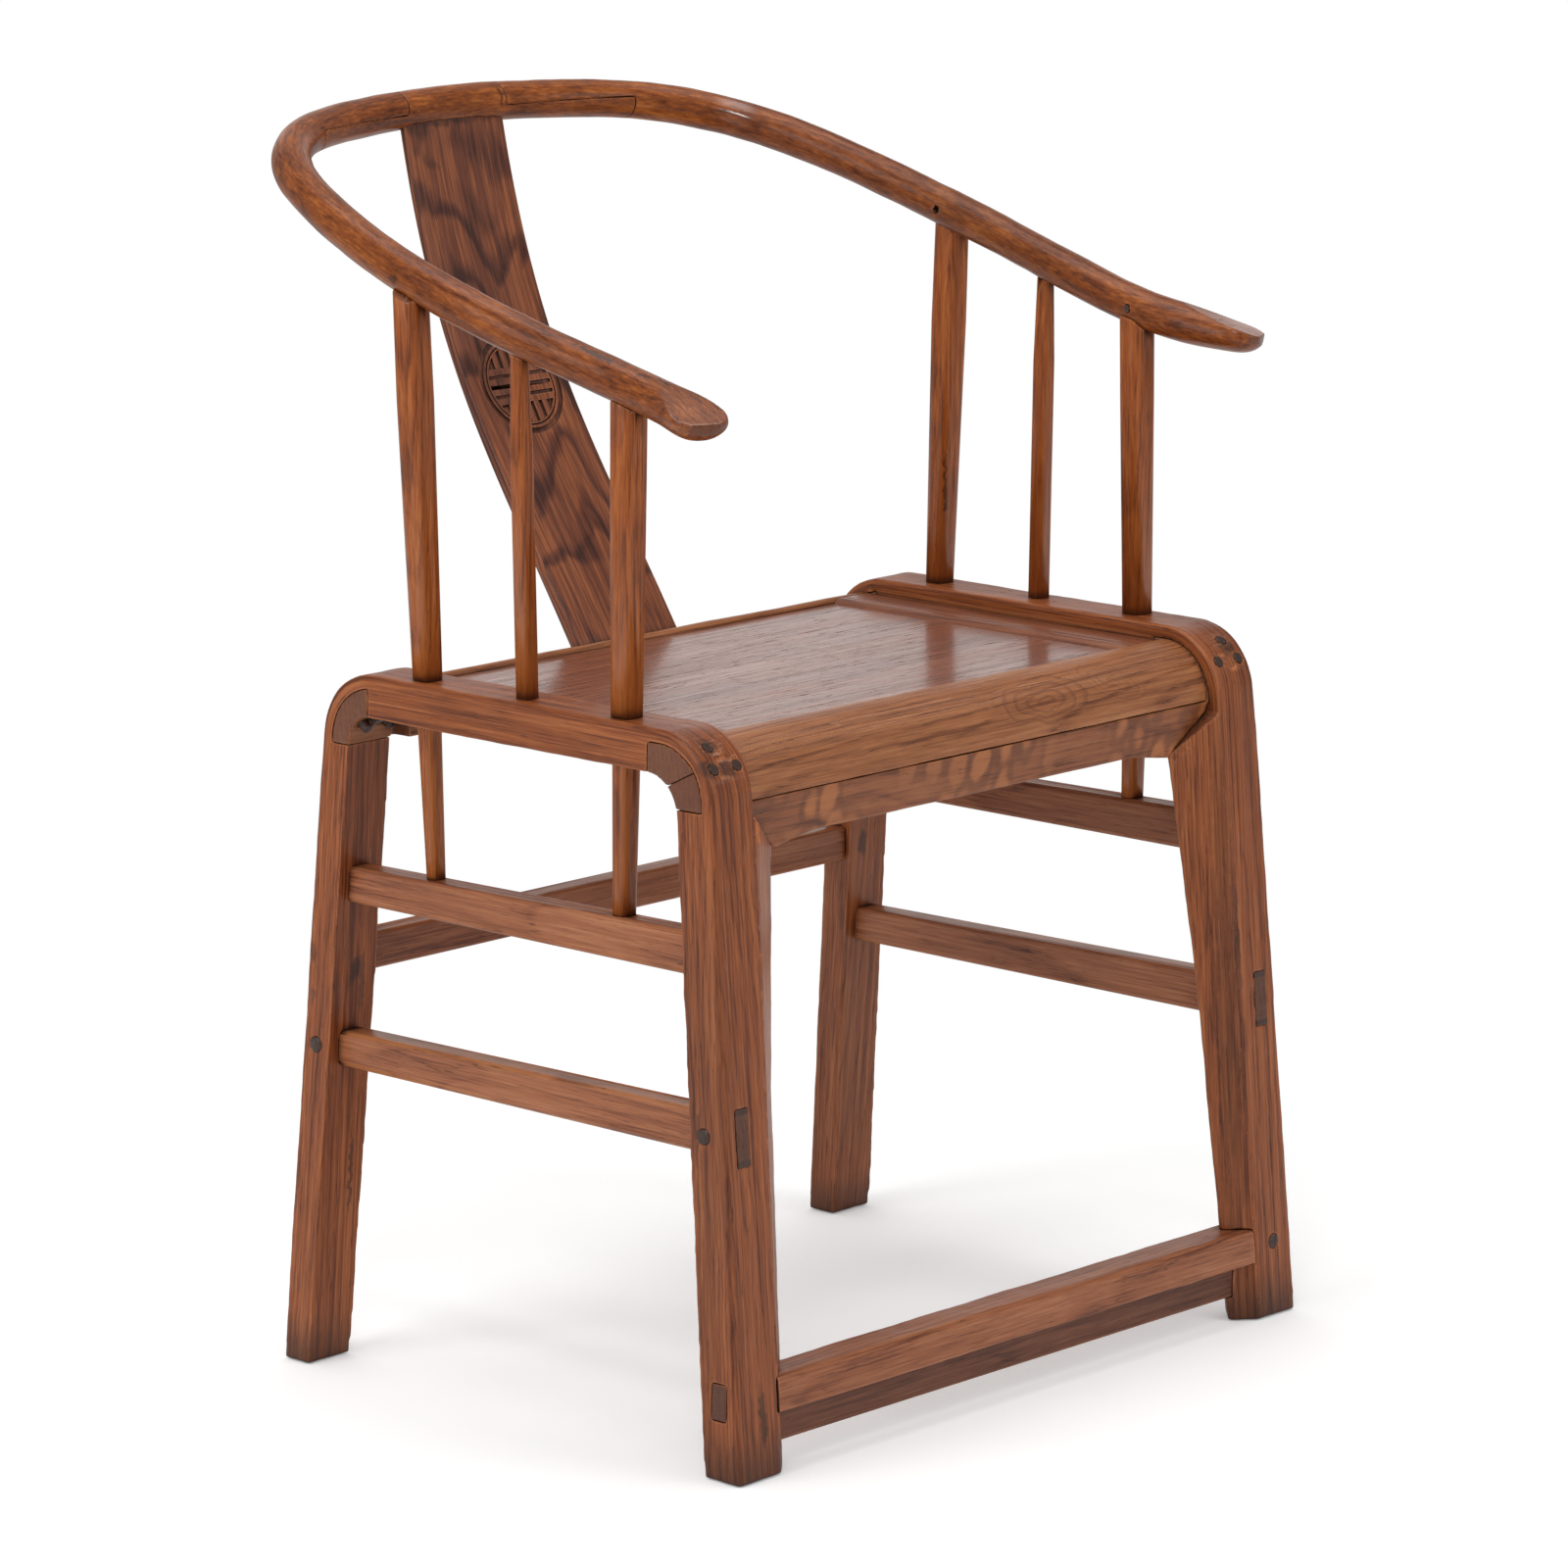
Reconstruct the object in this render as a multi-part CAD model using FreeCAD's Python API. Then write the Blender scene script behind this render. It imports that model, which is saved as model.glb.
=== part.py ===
import FreeCAD, Part
import math
import os
from collections import namedtuple

# A horseshoe back armchair in wood. Millimetres, +Z up, the sitter faces -Y.
# Lengths below are measured from a point on the floor midway between the four feet. When the parts are
# written out they are moved so that the origin is on the floor at the middle of the overall width and depth.

# Seat and legs: main sizes. A name in ..._drop is measured down from the seat's height, ..._inset inward.
seat_height = 512.0
seat_half_width = 286.0
seat_half_depth = 187.0
leg_splay_sideways = 14.0
leg_splay_lengthways = 41.0

# Side frame: one timber for front leg, side rail and back leg, thinned to a strip at each bend
side_rail_height = 31.0
side_rail_width = 42.0
bend_radius = 50.0
strip_thickness = 10.0
front_leg_depth = 34.0
back_leg_depth = 27.0
leg_shoulder_drop = 53.0
side_edge_radius = 3.0

# Moulded keel along the inner side of each front leg, widest at the mitre under the apron
foot_flange_width = 17.0
middle_flange_width = 24.0
top_flange_width = 38.0
foot_flange_setback = 15.0
top_flange_setback = 21.0
flange_tip = 2.0
flange_middle_share = 0.51
mitre_high_drop = 59.0
mitre_low_drop = 89.0

# Seat frame, seat panel and apron
panel_front_inset = 49.0
panel_back_inset = 33.0
inner_rail_width = 38.0
panel_ledge = 9.0
panel_thickness = 12.0
panel_drop = 15.5
rail_bottom_drop = 51.0
rail_back_drop = 39.0
rail_lip_depth = 11.0
rail_joint_rise = 12.0
rail_joint_run = 24.0
rail_joint_share = 0.6
inner_rail_drop = 12.0
inner_rail_bead_width = 11.0
inner_rail_bead_drop = 4.5
inner_rail_groove = 1.2
back_bead_radius = 4.0
back_rail_fall = 7.0
back_rail_radius = 7.0
apron_bottom_drop = 83.0
apron_end_run = 40.0
apron_setback = 6.0
apron_thickness = 20.0
batten_width = 42.0
batten_height = 20.0
inner_tenon_length = 14.0
inner_tenon_width = 16.0
inner_tenon_height = 8.0

# Posts: places along the side and widths, from the stretcher up to the arm rail
post_inset = 17.5
back_post_inset = 85.0
front_post_inset = 94.0
middle_post_shift = 3.0
back_post_foot_shift = -7.0
front_post_foot_shift = 3.0
back_post_head_outward = 5.0
front_post_head_outward = -2.0
back_post_foot_width = 11.5
back_post_rail_width = 15.5
back_post_seat_width = 18.0
back_post_swell_width = 22.5
back_post_head_width = 21.5
front_post_foot_width = 14.0
front_post_rail_width = 17.5
front_post_seat_width = 19.0
front_post_swell_width = 21.5
front_post_head_width = 22.0
middle_post_seat_width = 13.5
middle_post_swell_width = 13.5
middle_post_head_width = 10.0
middle_post_tenon = 10.0
middle_post_tenon_depth = 18.0
post_corner_share = 0.62
post_swell_share = 0.7
post_top_tenon = 12.0
post_top_tenon_length = 12.0
post_foot_tenon = 8.0
post_foot_tenon_length = 12.0

# Horseshoe arm rail: centre line and section
crest_rise = 362.6
grip_rise = 213.0
arm_inset = 9.0
arm_reach_back = 171.0
arm_reach_front = 3.0
arm_radius = 14.6
grip_half_width = 20.5
grip_half_height = 13.8
grip_tip_half_width = 10.0
grip_tip_half_height = 7.5
facet_place = 57.0
facet_rise = 11.3
facet_slope = 16.0
facet_tilt = 10.0
# Each row: outward share, backward-to-forward share and drop share of one point of the centre line
arm_line_shares = (
    (0.00, 0.000, 0.000),
    (0.39, 0.020, 0.020),
    (0.653, 0.071, 0.060),
    (0.838, 0.159, 0.159),
    (0.92, 0.248, 0.265),
    (0.989, 0.418, 0.477),
    (1.00, 0.551, 0.629),
    (0.978, 0.708, 0.795),
    (0.964, 0.836, 0.916),
    (1.050, 1.000, 1.000),
)
arm_round_stations = 15
# Each row: share of the way along the grip, share of the change of width, share of the change of height
grip_shares = ((0.0, 0.0, 0.0), (0.35, 0.3, 0.25), (0.65, 0.9, 0.8), (0.88, 1.0, 1.0))
scarf_start = 50.0
scarf_end = 160.0
wedge_width = 7.0
wedge_setback = 4.0

# Back splat
splat_half_width = 51.0
splat_foot_thickness = 10.5
splat_head_thickness = 4.5
splat_foot_inset = 19.4
splat_head_inset = 11.2
# Each row: share of the way up, share of the way back, for the front face of the splat
splat_shares = ((0.0, 0.0), (0.27, 0.365), (0.54, 0.69), (0.79, 0.89), (1.0, 1.0))
splat_tenon_half_width = 42.0
splat_tenon_length = 14.0
splat_head_tenon_length = 11.0
splat_steps = 6

# Stretchers and footrest
upper_stretcher_drop = 168.5
upper_stretcher_back_fall = 1.0
upper_stretcher_front_height = 31.0
upper_stretcher_back_height = 26.0
upper_stretcher_tenon_height = 20.0
lower_stretcher_bottom = 222.5
lower_stretcher_back_fall = 0.5
lower_stretcher_front_height = 31.0
lower_stretcher_back_height = 26.0
lower_stretcher_tenon_height = 17.0
stretcher_recess = 11.0
stretcher_thickness = 20.0
back_stretcher_bottom = 287.0
back_stretcher_height = 27.0
back_stretcher_recess = 5.0
back_stretcher_tenon_height = 20.0
stretcher_edge_radius = 3.0
stretcher_tenon_thickness = 12.0
stretcher_tenon_length = 18.0
through_wedge_height = 4.5
footrest_bottom = 43.0
footrest_height = 25.5
footrest_depth = 28.0
footrest_edge_radius = 5.0
footrest_tenon_thickness = 14.0
footrest_tenon_inset = 10.0
footrest_apron_bottom = 18.0
footrest_apron_thickness = 10.0
footrest_apron_setback = 14.0
stub_length = 8.0

# Pegs
corner_peg_radius = 4.0
corner_peg_length = 34.0
corner_peg_spread = 11.0
# Each row: share of the bend's turn, measured from the leg, and share of the spread sideways
corner_peg_shares = ((0.56, 0.5), (0.33, -1.0), (0.33, 1.0))
side_peg_radius = 5.5
side_peg_length = 30.0
front_side_peg_setback = 4.0
back_side_peg_rise = 2.5
front_peg_length = 26.0
arm_peg_radius = 2.8
arm_peg_reach = 6.0

# Clearances and overrun
seat_gap = 0.2
tenon_gap = 0.2
overrun = 20.0

vector = FreeCAD.Vector
across = vector(1, 0, 0)
forward = vector(0, 1, 0)
up = vector(0, 0, 1)
origin = vector(0, 0, 0)
FRONT = -1
BACK = 1

foot_half_width = seat_half_width + leg_splay_sideways
foot_half_depth = seat_half_depth + leg_splay_lengthways
leg_lean = leg_splay_lengthways / seat_height
leg_steepness = math.hypot(1, leg_lean)
bend_centre_height = seat_height - bend_radius
strip_inner_radius = bend_radius - strip_thickness
rail_radius = strip_inner_radius - seat_gap
rail_top = seat_height - strip_thickness - seat_gap
leg_shoulder_height = seat_height - leg_shoulder_drop
side_rail_bottom = seat_height - side_rail_height
mitre_high = seat_height - mitre_high_drop
mitre_low = seat_height - mitre_low_drop
panel_front = seat_half_depth - panel_front_inset
panel_back = seat_half_depth - panel_back_inset
panel_half_width = seat_half_width - side_rail_width - inner_rail_width
panel_top = seat_height - panel_drop
panel_bottom = panel_top - panel_thickness
front_notch = panel_front - panel_ledge
back_notch = panel_back - panel_ledge
rail_bottom = seat_height - rail_bottom_drop
rail_back_bottom = seat_height - rail_back_drop
rail_joint_height = rail_back_bottom
inner_rail_top = seat_height - inner_rail_drop
apron_bottom = seat_height - apron_bottom_drop
crest_height = seat_height + crest_rise
grip_height = seat_height + grip_rise
arm_half_width = seat_half_width - arm_inset
arm_back = seat_half_depth + arm_reach_back
arm_front = seat_half_depth + arm_reach_front
back_post_place = seat_half_depth - back_post_inset
front_post_place = front_post_inset - seat_half_depth
splat_foot = seat_half_depth - splat_foot_inset
splat_head = arm_back - splat_head_inset

# One side stretcher: heights of its lower edge and its own height, at the front and at the back
SideStretcher = namedtuple("SideStretcher", "front_bottom back_bottom front_height back_height tenon_height")
upper_stretcher = SideStretcher(seat_height - upper_stretcher_drop,
                                seat_height - upper_stretcher_drop - upper_stretcher_back_fall,
                                upper_stretcher_front_height, upper_stretcher_back_height,
                                upper_stretcher_tenon_height)
lower_stretcher = SideStretcher(lower_stretcher_bottom, lower_stretcher_bottom - lower_stretcher_back_fall,
                                lower_stretcher_front_height, lower_stretcher_back_height,
                                lower_stretcher_tenon_height)


def outer_x(z):
    """Distance from the chair's centre to the outer face of a side frame at height z."""
    return foot_half_width - (foot_half_width - seat_half_width) * z / seat_height


def leg_y(z):
    """Distance from the chair's centre to the front or back face of the legs at height z."""
    return foot_half_depth - leg_lean * z


hollow_width = leg_y(leg_shoulder_height) - front_leg_depth - front_notch
rail_joint_place = front_notch + hollow_width * rail_joint_share


def mirrored(shape):
    """The same shape on the other side of the chair."""
    return shape.mirror(origin, across)


def box(x_from, x_to, y_from, y_to, z_from, z_to):
    """A box between two corners."""
    return Part.makeBox(x_to - x_from, y_to - y_from, z_to - z_from, vector(x_from, y_from, z_from))


def prism_along_x(points, x_from, x_to):
    """A prism whose outline is a list of (y, z) points."""
    corners = [vector(x_from, y, z) for y, z in points]
    return Part.Face(Part.makePolygon(corners + corners[:1])).extrude(across * (x_to - x_from))


def prism_along_y(points, y_from, y_to):
    """A prism whose outline is a list of (x, z) points."""
    corners = [vector(x, y_from, z) for x, z in points]
    return Part.Face(Part.makePolygon(corners + corners[:1])).extrude(forward * (y_to - y_from))


def side_zone(inner_inset, outer_inset):
    """The space on the right between two planes that lean with the side frame, given from its outer face."""
    low, high = -overrun, seat_height + overrun
    points = [(outer_x(low) - inner_inset, low), (outer_x(low) - outer_inset, low),
              (outer_x(high) - outer_inset, high), (outer_x(high) - inner_inset, high)]
    return prism_along_y(points, -foot_half_depth - overrun, foot_half_depth + overrun)


def between_side_faces(inset):
    """The space between the two side frames, out to an inset from their outer faces."""
    low, high = -overrun, seat_height + overrun
    points = [(inset - outer_x(low), low), (outer_x(low) - inset, low),
              (outer_x(high) - inset, high), (inset - outer_x(high), high)]
    return prism_along_y(points, -foot_half_depth - overrun, foot_half_depth + overrun)


def bend_points(radius, end):
    """Start, middle and finish of the bend, from the leg up to the side rail, as (y, z)."""
    centre_y = leg_y(bend_centre_height) - bend_radius * leg_steepness
    start = math.atan(leg_lean)
    finish = math.pi / 2
    points = []
    for angle in (start, (start + finish) / 2, finish):
        y = centre_y + radius * math.cos(angle)
        points.append((end * y, bend_centre_height + radius * math.sin(angle)))
    return points


def leg_inner_y(end):
    """Distance from the chair's centre to the inner face of a front or back leg at its shoulder."""
    depth = front_leg_depth if end == FRONT else back_leg_depth
    return leg_y(leg_shoulder_height) - depth


def offset_leg_y(z, offset):
    """Distance to a face that runs parallel to the leg's outer face, inside it by an offset."""
    return leg_y(z) - offset * leg_steepness


def wire_of(steps, place):
    """A closed wire from (kind, points) steps, each point (y, z) put in space by place."""
    edges = []
    for kind, points in steps:
        spots = [place(y, z) for y, z in points]
        if kind == "arc":
            edges.append(Part.Arc(*spots).toShape())
        else:
            edges.extend(Part.LineSegment(a, b).toShape() for a, b in zip(spots, spots[1:]))
    return Part.Wire(Part.__sortEdges__(edges))


def under_skin(radius, end):
    """All the space inside the outer skin of one bend, for a skin of a given bend radius."""
    curve = bend_points(radius, end)
    depth = bend_radius - radius
    top = seat_height - depth
    start = (end * offset_leg_y(0, depth), 0)
    steps = [("line", [start, curve[0]]), ("arc", curve), ("line", [curve[2], (0, top), (0, 0), start])]
    return swept_across(steps)


def notch(end, place, radius, gap):
    """The notch of one bend, or with a gap the tongue of the rail that fills it."""
    low = leg_shoulder_height + gap
    y_from, y_to = sorted((end * (place + gap), end * foot_half_depth))
    space = box(-foot_half_width, foot_half_width, y_from, y_to, low, seat_height)
    return under_skin(radius, end).common(space)


def side_frame_core():
    """The right side frame before its flange, mortises and holes."""
    skin = under_skin(bend_radius, FRONT).fuse(under_skin(bend_radius, BACK)).removeSplitter()
    floor = -overrun
    inside = [(front_leg_depth - leg_y(floor), floor),
              (front_leg_depth - leg_y(side_rail_bottom), side_rail_bottom),
              (leg_y(side_rail_bottom) - back_leg_depth, side_rail_bottom),
              (leg_y(floor) - back_leg_depth, floor)]
    skin = skin.cut(prism_along_x(inside, -foot_half_width, foot_half_width))
    skin = skin.cut(notch(FRONT, front_notch, strip_inner_radius, 0))
    skin = skin.cut(notch(BACK, back_notch, strip_inner_radius, 0))
    core = largest_solid(skin.common(side_zone(side_rail_width, 0)))
    return core.makeFillet(side_edge_radius, outer_outline_edges(core))


def outer_outline_edges(core):
    """Edges that run along the outside of the side frame, on its outer and inner faces."""
    chosen = []
    for edge in core.Edges:
        middle = edge.valueAt((edge.FirstParameter + edge.LastParameter) / 2)
        ends = [vertex.Point for vertex in edge.Vertexes]
        is_crosswise = abs(ends[1].x - ends[0].x) > side_rail_width / 2
        along_leg = abs(abs(middle.y) - leg_y(middle.z)) < seat_gap
        along_top = abs(middle.z - seat_height) < seat_gap
        on_bend = middle.z > bend_centre_height and abs(middle.y) > back_notch and not is_crosswise
        is_outer_bend = on_bend and bend_distance(middle) > strip_inner_radius + strip_thickness / 2
        if not is_crosswise and (along_leg or along_top or is_outer_bend):
            chosen.append(edge)
    return chosen


def bend_distance(point):
    """Distance of a point from the axis of the nearest bend."""
    centre_y = leg_y(bend_centre_height) - bend_radius * leg_steepness
    return math.hypot(abs(point.y) - centre_y, point.z - bend_centre_height)


def flange_section(z, width, setback):
    """Outline of the keel at one height, with a narrow tip, from the leg's front arris to its back."""
    ridge = outer_x(z) - side_rail_width
    face = -leg_y(z)
    points = [(ridge, face), (ridge - width, face + setback), (ridge - width, face + setback + flange_tip),
              (ridge, face + front_leg_depth)]
    corners = [vector(x, y, z) for x, y in points]
    return Part.makePolygon(corners + corners[:1])


def front_leg_flange():
    """The moulded keel along the inner side of the right front leg, cut at its top to the apron's mitre."""
    sections = [flange_section(0, foot_flange_width, foot_flange_setback),
                flange_section(seat_height * flange_middle_share, middle_flange_width,
                               (foot_flange_setback + top_flange_setback) / 2),
                flange_section(mitre_high, top_flange_width, top_flange_setback)]
    flange = Part.makeLoft(sections, True, True)
    return flange.cut(above_mitre())


def mitre_points():
    """Upper and lower end of the mitre line on the right, as (x, z)."""
    high_x = outer_x(mitre_high) - side_rail_width
    low_x = outer_x(mitre_low) - side_rail_width - top_flange_width
    return (high_x, mitre_high), (low_x, mitre_low)


def above_mitre():
    """The space above the mitre on the right front leg, where the apron's end lies."""
    (high_x, high_z), (low_x, low_z) = mitre_points()
    fall = (high_z - low_z) / (high_x - low_x)
    far_x = low_x - overrun
    points = [(high_x, high_z), (low_x, low_z), (far_x, low_z - fall * overrun), (far_x, seat_height),
              (high_x, seat_height)]
    return prism_along_y(points, -foot_half_depth - overrun, 0)


def swept_across(steps):
    """A section in (y, z) swept across the whole chair."""
    wire = wire_of(steps, lambda y, z: vector(-foot_half_width, y, z))
    return Part.Face(wire).extrude(across * (foot_half_width * 2))


def corner_hollow(end, place):
    """The round hollow under a rail end, in the inner corner between side rail and leg."""
    radius = leg_inner_y(end) - place
    start = vector(-foot_half_width, end * place, side_rail_bottom - radius)
    return Part.makeCylinder(radius, foot_half_width * 2, start, across)


def tongue(end, place):
    """The end of a seat rail, which fills the notches and is hollowed out below."""
    solid = notch(end, place, rail_radius, seat_gap)
    return solid.cut(corner_hollow(end, place)).common(notch_zones())


def below_joint():
    """The space below the sloping joint between the front rail's ends and the apron's ends."""
    floor = rail_bottom - overrun
    inner = overrun - front_notch
    points = [(-rail_joint_place, rail_joint_height), (-foot_half_depth, joint_height(foot_half_depth)),
              (-foot_half_depth, floor), (inner, floor), (inner, rail_joint_height)]
    return prism_along_x(points, -foot_half_width - overrun, foot_half_width + overrun)


def notch_zones():
    """The spaces of both side frames' notches, from just inside the rails' shoulders to the outer faces."""
    zone = side_zone(side_rail_width + seat_gap / 2, 0)
    return zone.fuse(mirrored(zone))


def front_rail_blank():
    """The front seat rail with its two ends, before mortises and peg holes."""
    lip = offset_leg_y(rail_bottom, strip_thickness + seat_gap) - rail_lip_depth
    section = [(-foot_half_depth, seat_height), (-panel_front, seat_height), (-panel_front, panel_bottom),
               (-front_notch, panel_bottom), (-front_notch, rail_joint_height),
               (-rail_joint_place, rail_joint_height), (-lip, joint_height(lip)), (-lip, rail_bottom),
               (-foot_half_depth, rail_bottom)]
    body = under_skin(rail_radius, FRONT).common(prism_along_x(section, -foot_half_width, foot_half_width))
    body = body.common(between_side_faces(side_rail_width + seat_gap / 2))
    ends = tongue(FRONT, front_notch).cut(below_joint())
    return body.fuse(ends).removeSplitter()


def joint_height(y):
    """Height of the sloping joint at a distance in front of the chair's centre."""
    return rail_joint_height + rail_joint_rise / rail_joint_run * (y - rail_joint_place)


def back_rail_blank():
    """The back seat rail with its two ends and the bead along the panel."""
    low_back = offset_leg_y(rail_bottom, strip_thickness + seat_gap)
    high_back = offset_leg_y(rail_top, strip_thickness + seat_gap)
    section = [(back_notch, rail_bottom), (low_back, rail_bottom), (high_back, rail_top - back_rail_fall),
               (panel_back, rail_top), (panel_back, panel_bottom), (back_notch, panel_bottom)]
    body = prism_along_x(section, -foot_half_width, foot_half_width)
    body = body.makeFillet(back_bead_radius, long_edges_at(body, panel_back, rail_top))
    body = body.makeFillet(back_rail_radius, long_edges_at(body, high_back, rail_top - back_rail_fall))
    body = body.common(between_side_faces(side_rail_width + seat_gap / 2))
    return body.fuse(tongue(BACK, back_notch)).removeSplitter()


def long_edges_at(shape, y, z):
    """Edges of a shape that run along X at one place in its section."""
    chosen = []
    for edge in shape.Edges:
        middle = edge.CenterOfMass
        if edge.Length > foot_half_width and math.hypot(middle.y - y, middle.z - z) < seat_gap:
            chosen.append(edge)
    return chosen


def front_apron():
    """The front apron: face below the rail's lip, a ridge behind the lip, and ends in the notches."""
    top = rail_bottom - seat_gap
    top_y = offset_leg_y(rail_bottom, strip_thickness + seat_gap)
    lip = top_y - rail_lip_depth - seat_gap
    back = top_y - apron_thickness
    floor = mitre_low - overrun
    face = apron_setback - top_y
    section = [(-top_y, top), (face, apron_bottom), (face, floor), (-back, floor),
               (-back, joint_height(back) - seat_gap), (-lip, joint_height(lip) - seat_gap), (-lip, top)]
    body = prism_along_x(section, -foot_half_width, foot_half_width)
    (high_x, high_z), (low_x, low_z) = mitre_points()
    edge_x = low_x - apron_end_run
    half = [(high_x, seat_height), (high_x, high_z), (low_x, low_z), (edge_x, apron_bottom)]
    outline = half + [(-x, z) for x, z in half[::-1]]
    body = body.common(prism_along_y(outline, -foot_half_depth, 0))
    ends = tongue(FRONT, front_notch).common(below_joint().translated(up * -seat_gap))
    return body.fuse(ends).removeSplitter()


def inner_rail_section():
    """Section of the right inner seat rail in (x, z): flat band, fine groove, and bead down to the panel."""
    outer = outer_x(inner_rail_top) - side_rail_width - seat_gap
    bead_start = panel_half_width + inner_rail_bead_width
    bead_foot = inner_rail_top - inner_rail_bead_drop
    groove = bead_start + inner_rail_groove
    spots = [(bead_start, inner_rail_top), (groove, inner_rail_top - inner_rail_groove),
             (groove + inner_rail_groove, inner_rail_top), (outer, inner_rail_top),
             (outer, rail_back_bottom), (panel_half_width - panel_ledge, rail_back_bottom),
             (panel_half_width - panel_ledge, panel_bottom), (panel_half_width, panel_bottom),
             (panel_half_width, bead_foot)]
    corners = [vector(x, 0, z) for x, z in spots]
    edges = [Part.LineSegment(a, b).toShape() for a, b in zip(corners, corners[1:])]
    turn = math.sqrt(0.5)
    crown = vector(bead_start - inner_rail_bead_width * turn, 0, bead_foot + inner_rail_bead_drop * turn)
    edges.append(Part.Arc(corners[-1], crown, corners[0]).toShape())
    return Part.Face(Part.Wire(Part.__sortEdges__(edges)))


def inner_rail_tenon(gap):
    """The two tenons of the right inner seat rail, with a gap all round for the mortises."""
    centre_x = panel_half_width + inner_tenon_width / 2
    top = panel_bottom - (panel_bottom - rail_back_bottom - inner_tenon_height) / 2 + gap
    low = top - inner_tenon_height - gap * 2
    half = inner_tenon_width / 2 + gap
    return box(centre_x - half, centre_x + half, -front_notch - inner_tenon_length - gap,
               back_notch + inner_tenon_length + gap, low, top)


def inner_rail(front_rail, back_rail):
    """The right inner seat rail, its ends fitted to the front and back rails."""
    long_rail = inner_rail_section().extrude(forward * (panel_front + panel_back))
    long_rail.translate(forward * -panel_front)
    lean_space = between_side_faces(side_rail_width + seat_gap)
    fitted = long_rail.common(lean_space).cut(front_rail).cut(back_rail)
    return largest_solid(fitted).fuse(inner_rail_tenon(0)).removeSplitter()


def seat_panel():
    """The floating panel, which lies on the ledges of the four rails around it."""
    return box(seat_gap - panel_half_width, panel_half_width - seat_gap, seat_gap - panel_front,
               panel_back - seat_gap, panel_bottom, panel_top)


def seat_batten(gap):
    """The cross batten under the panel, with a stub tenon at each end."""
    half = batten_width / 2
    body = box(-half, half, -front_notch, back_notch, panel_bottom - batten_height, panel_bottom)
    return body.fuse(batten_tenons(gap)).removeSplitter()


def batten_tenons(gap):
    """The stub tenons of the batten, with a gap for their mortises."""
    half = batten_width / 4 + gap
    middle = (panel_bottom + rail_back_bottom) / 2
    rise = inner_tenon_height / 2 + gap
    reach = stub_length + gap
    return box(-half, half, -front_notch - reach, back_notch + reach, middle - rise, middle + rise)


def arm_curve():
    """The centre line of the whole horseshoe rail, from the left grip over the crest to the right grip."""
    right = []
    for outward, along, drop in arm_line_shares:
        y = arm_back - (arm_back + arm_front) * along
        z = crest_height - (crest_height - grip_height) * drop
        right.append(vector(arm_half_width * outward, y, z))
    left = [vector(-point.x, point.y, point.z) for point in right[:0:-1]]
    curve = Part.BSplineCurve()
    curve.interpolate(left + right)
    return curve


def parameter_at(curve, place):
    """Parameter on the right arm where the centre line passes a place behind the chair's centre."""
    low = (curve.FirstParameter + curve.LastParameter) / 2
    high = curve.LastParameter
    for _ in range(40):
        middle = (low + high) / 2
        if curve.value(middle).y > place:
            low = middle
        else:
            high = middle
    return (low + high) / 2


def ring(centre, tangent, half_width, half_height):
    """A closed oval across the rail, half_width sideways and half_height upward."""
    sideways = tangent.cross(up).normalize()
    upward = sideways.cross(tangent).normalize()
    points = []
    for step in range(8):
        angle = math.pi * step / 4
        spot = centre + sideways * (half_width * math.cos(angle))
        points.append(spot + upward * (half_height * math.sin(angle)))
    curve = Part.BSplineCurve()
    curve.interpolate(points, True)
    return Part.Wire(curve.toShape())


def arm_stations(curve):
    """Parameters and half sizes of the rail's sections on the right arm, from the crest to the tip."""
    middle = (curve.FirstParameter + curve.LastParameter) / 2
    grip_start = parameter_at(curve, front_post_place)
    stations = []
    for step in range(arm_round_stations):
        stations.append((middle + (grip_start - middle) * step / arm_round_stations, arm_radius, arm_radius))
    for along, wider, flatter in grip_shares:
        parameter = grip_start + (curve.LastParameter - grip_start) * along
        half_width = arm_radius + (grip_half_width - arm_radius) * wider
        half_height = arm_radius + (grip_half_height - arm_radius) * flatter
        stations.append((parameter, half_width, half_height))
    stations.append((curve.LastParameter, grip_tip_half_width, grip_tip_half_height))
    return stations


def whole_arm_rail():
    """The horseshoe rail as one solid, before it is divided at its scarf joints."""
    curve = arm_curve()
    middle = (curve.FirstParameter + curve.LastParameter) / 2
    right = arm_stations(curve)
    left = [(middle * 2 - parameter, wide, high) for parameter, wide, high in right[:0:-1]]
    rings = [ring(curve.value(t), direction_at(curve, t), wide, high) for t, wide, high in left + right]
    return Part.makeLoft(rings, True, False)


def grip_facet():
    """The space above the flat facet on top of the right grip, which slopes forward and outward."""
    curve = arm_curve()
    spot = curve.value(parameter_at(curve, front_post_place - facet_place)) + up * facet_rise
    reach = facet_place * 2
    space = box(-reach, reach, -reach, facet_place, 0, reach)
    space.translate(spot)
    space.rotate(spot, across, facet_slope)
    space.rotate(spot, forward, facet_tilt)
    return space


def direction_at(curve, parameter):
    """Unit direction of the centre line at a parameter."""
    return curve.tangent(parameter)[0].normalize()


def crest_zone():
    """The space of the crest section: full between the laps, lower half inside each lap."""
    reach = arm_radius * 2
    lap_height = arm_curve_height(scarf_start / 2 + scarf_end / 2)
    low, high = crest_height - reach, crest_height + reach
    full = box(-scarf_start, scarf_start, 0, arm_back + reach, low, high)
    lower = box(-scarf_end, scarf_end, 0, arm_back + reach, low, lap_height)
    return full.fuse(lower)


def arm_curve_height(outward):
    """Height of the centre line at a distance to the right of the crest's middle."""
    curve = arm_curve()
    low = (curve.FirstParameter + curve.LastParameter) / 2
    high = parameter_at(curve, back_post_place)
    for _ in range(40):
        middle = (low + high) / 2
        if curve.value(middle).x < outward:
            low = middle
        else:
            high = middle
    return curve.value(low).z


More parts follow.
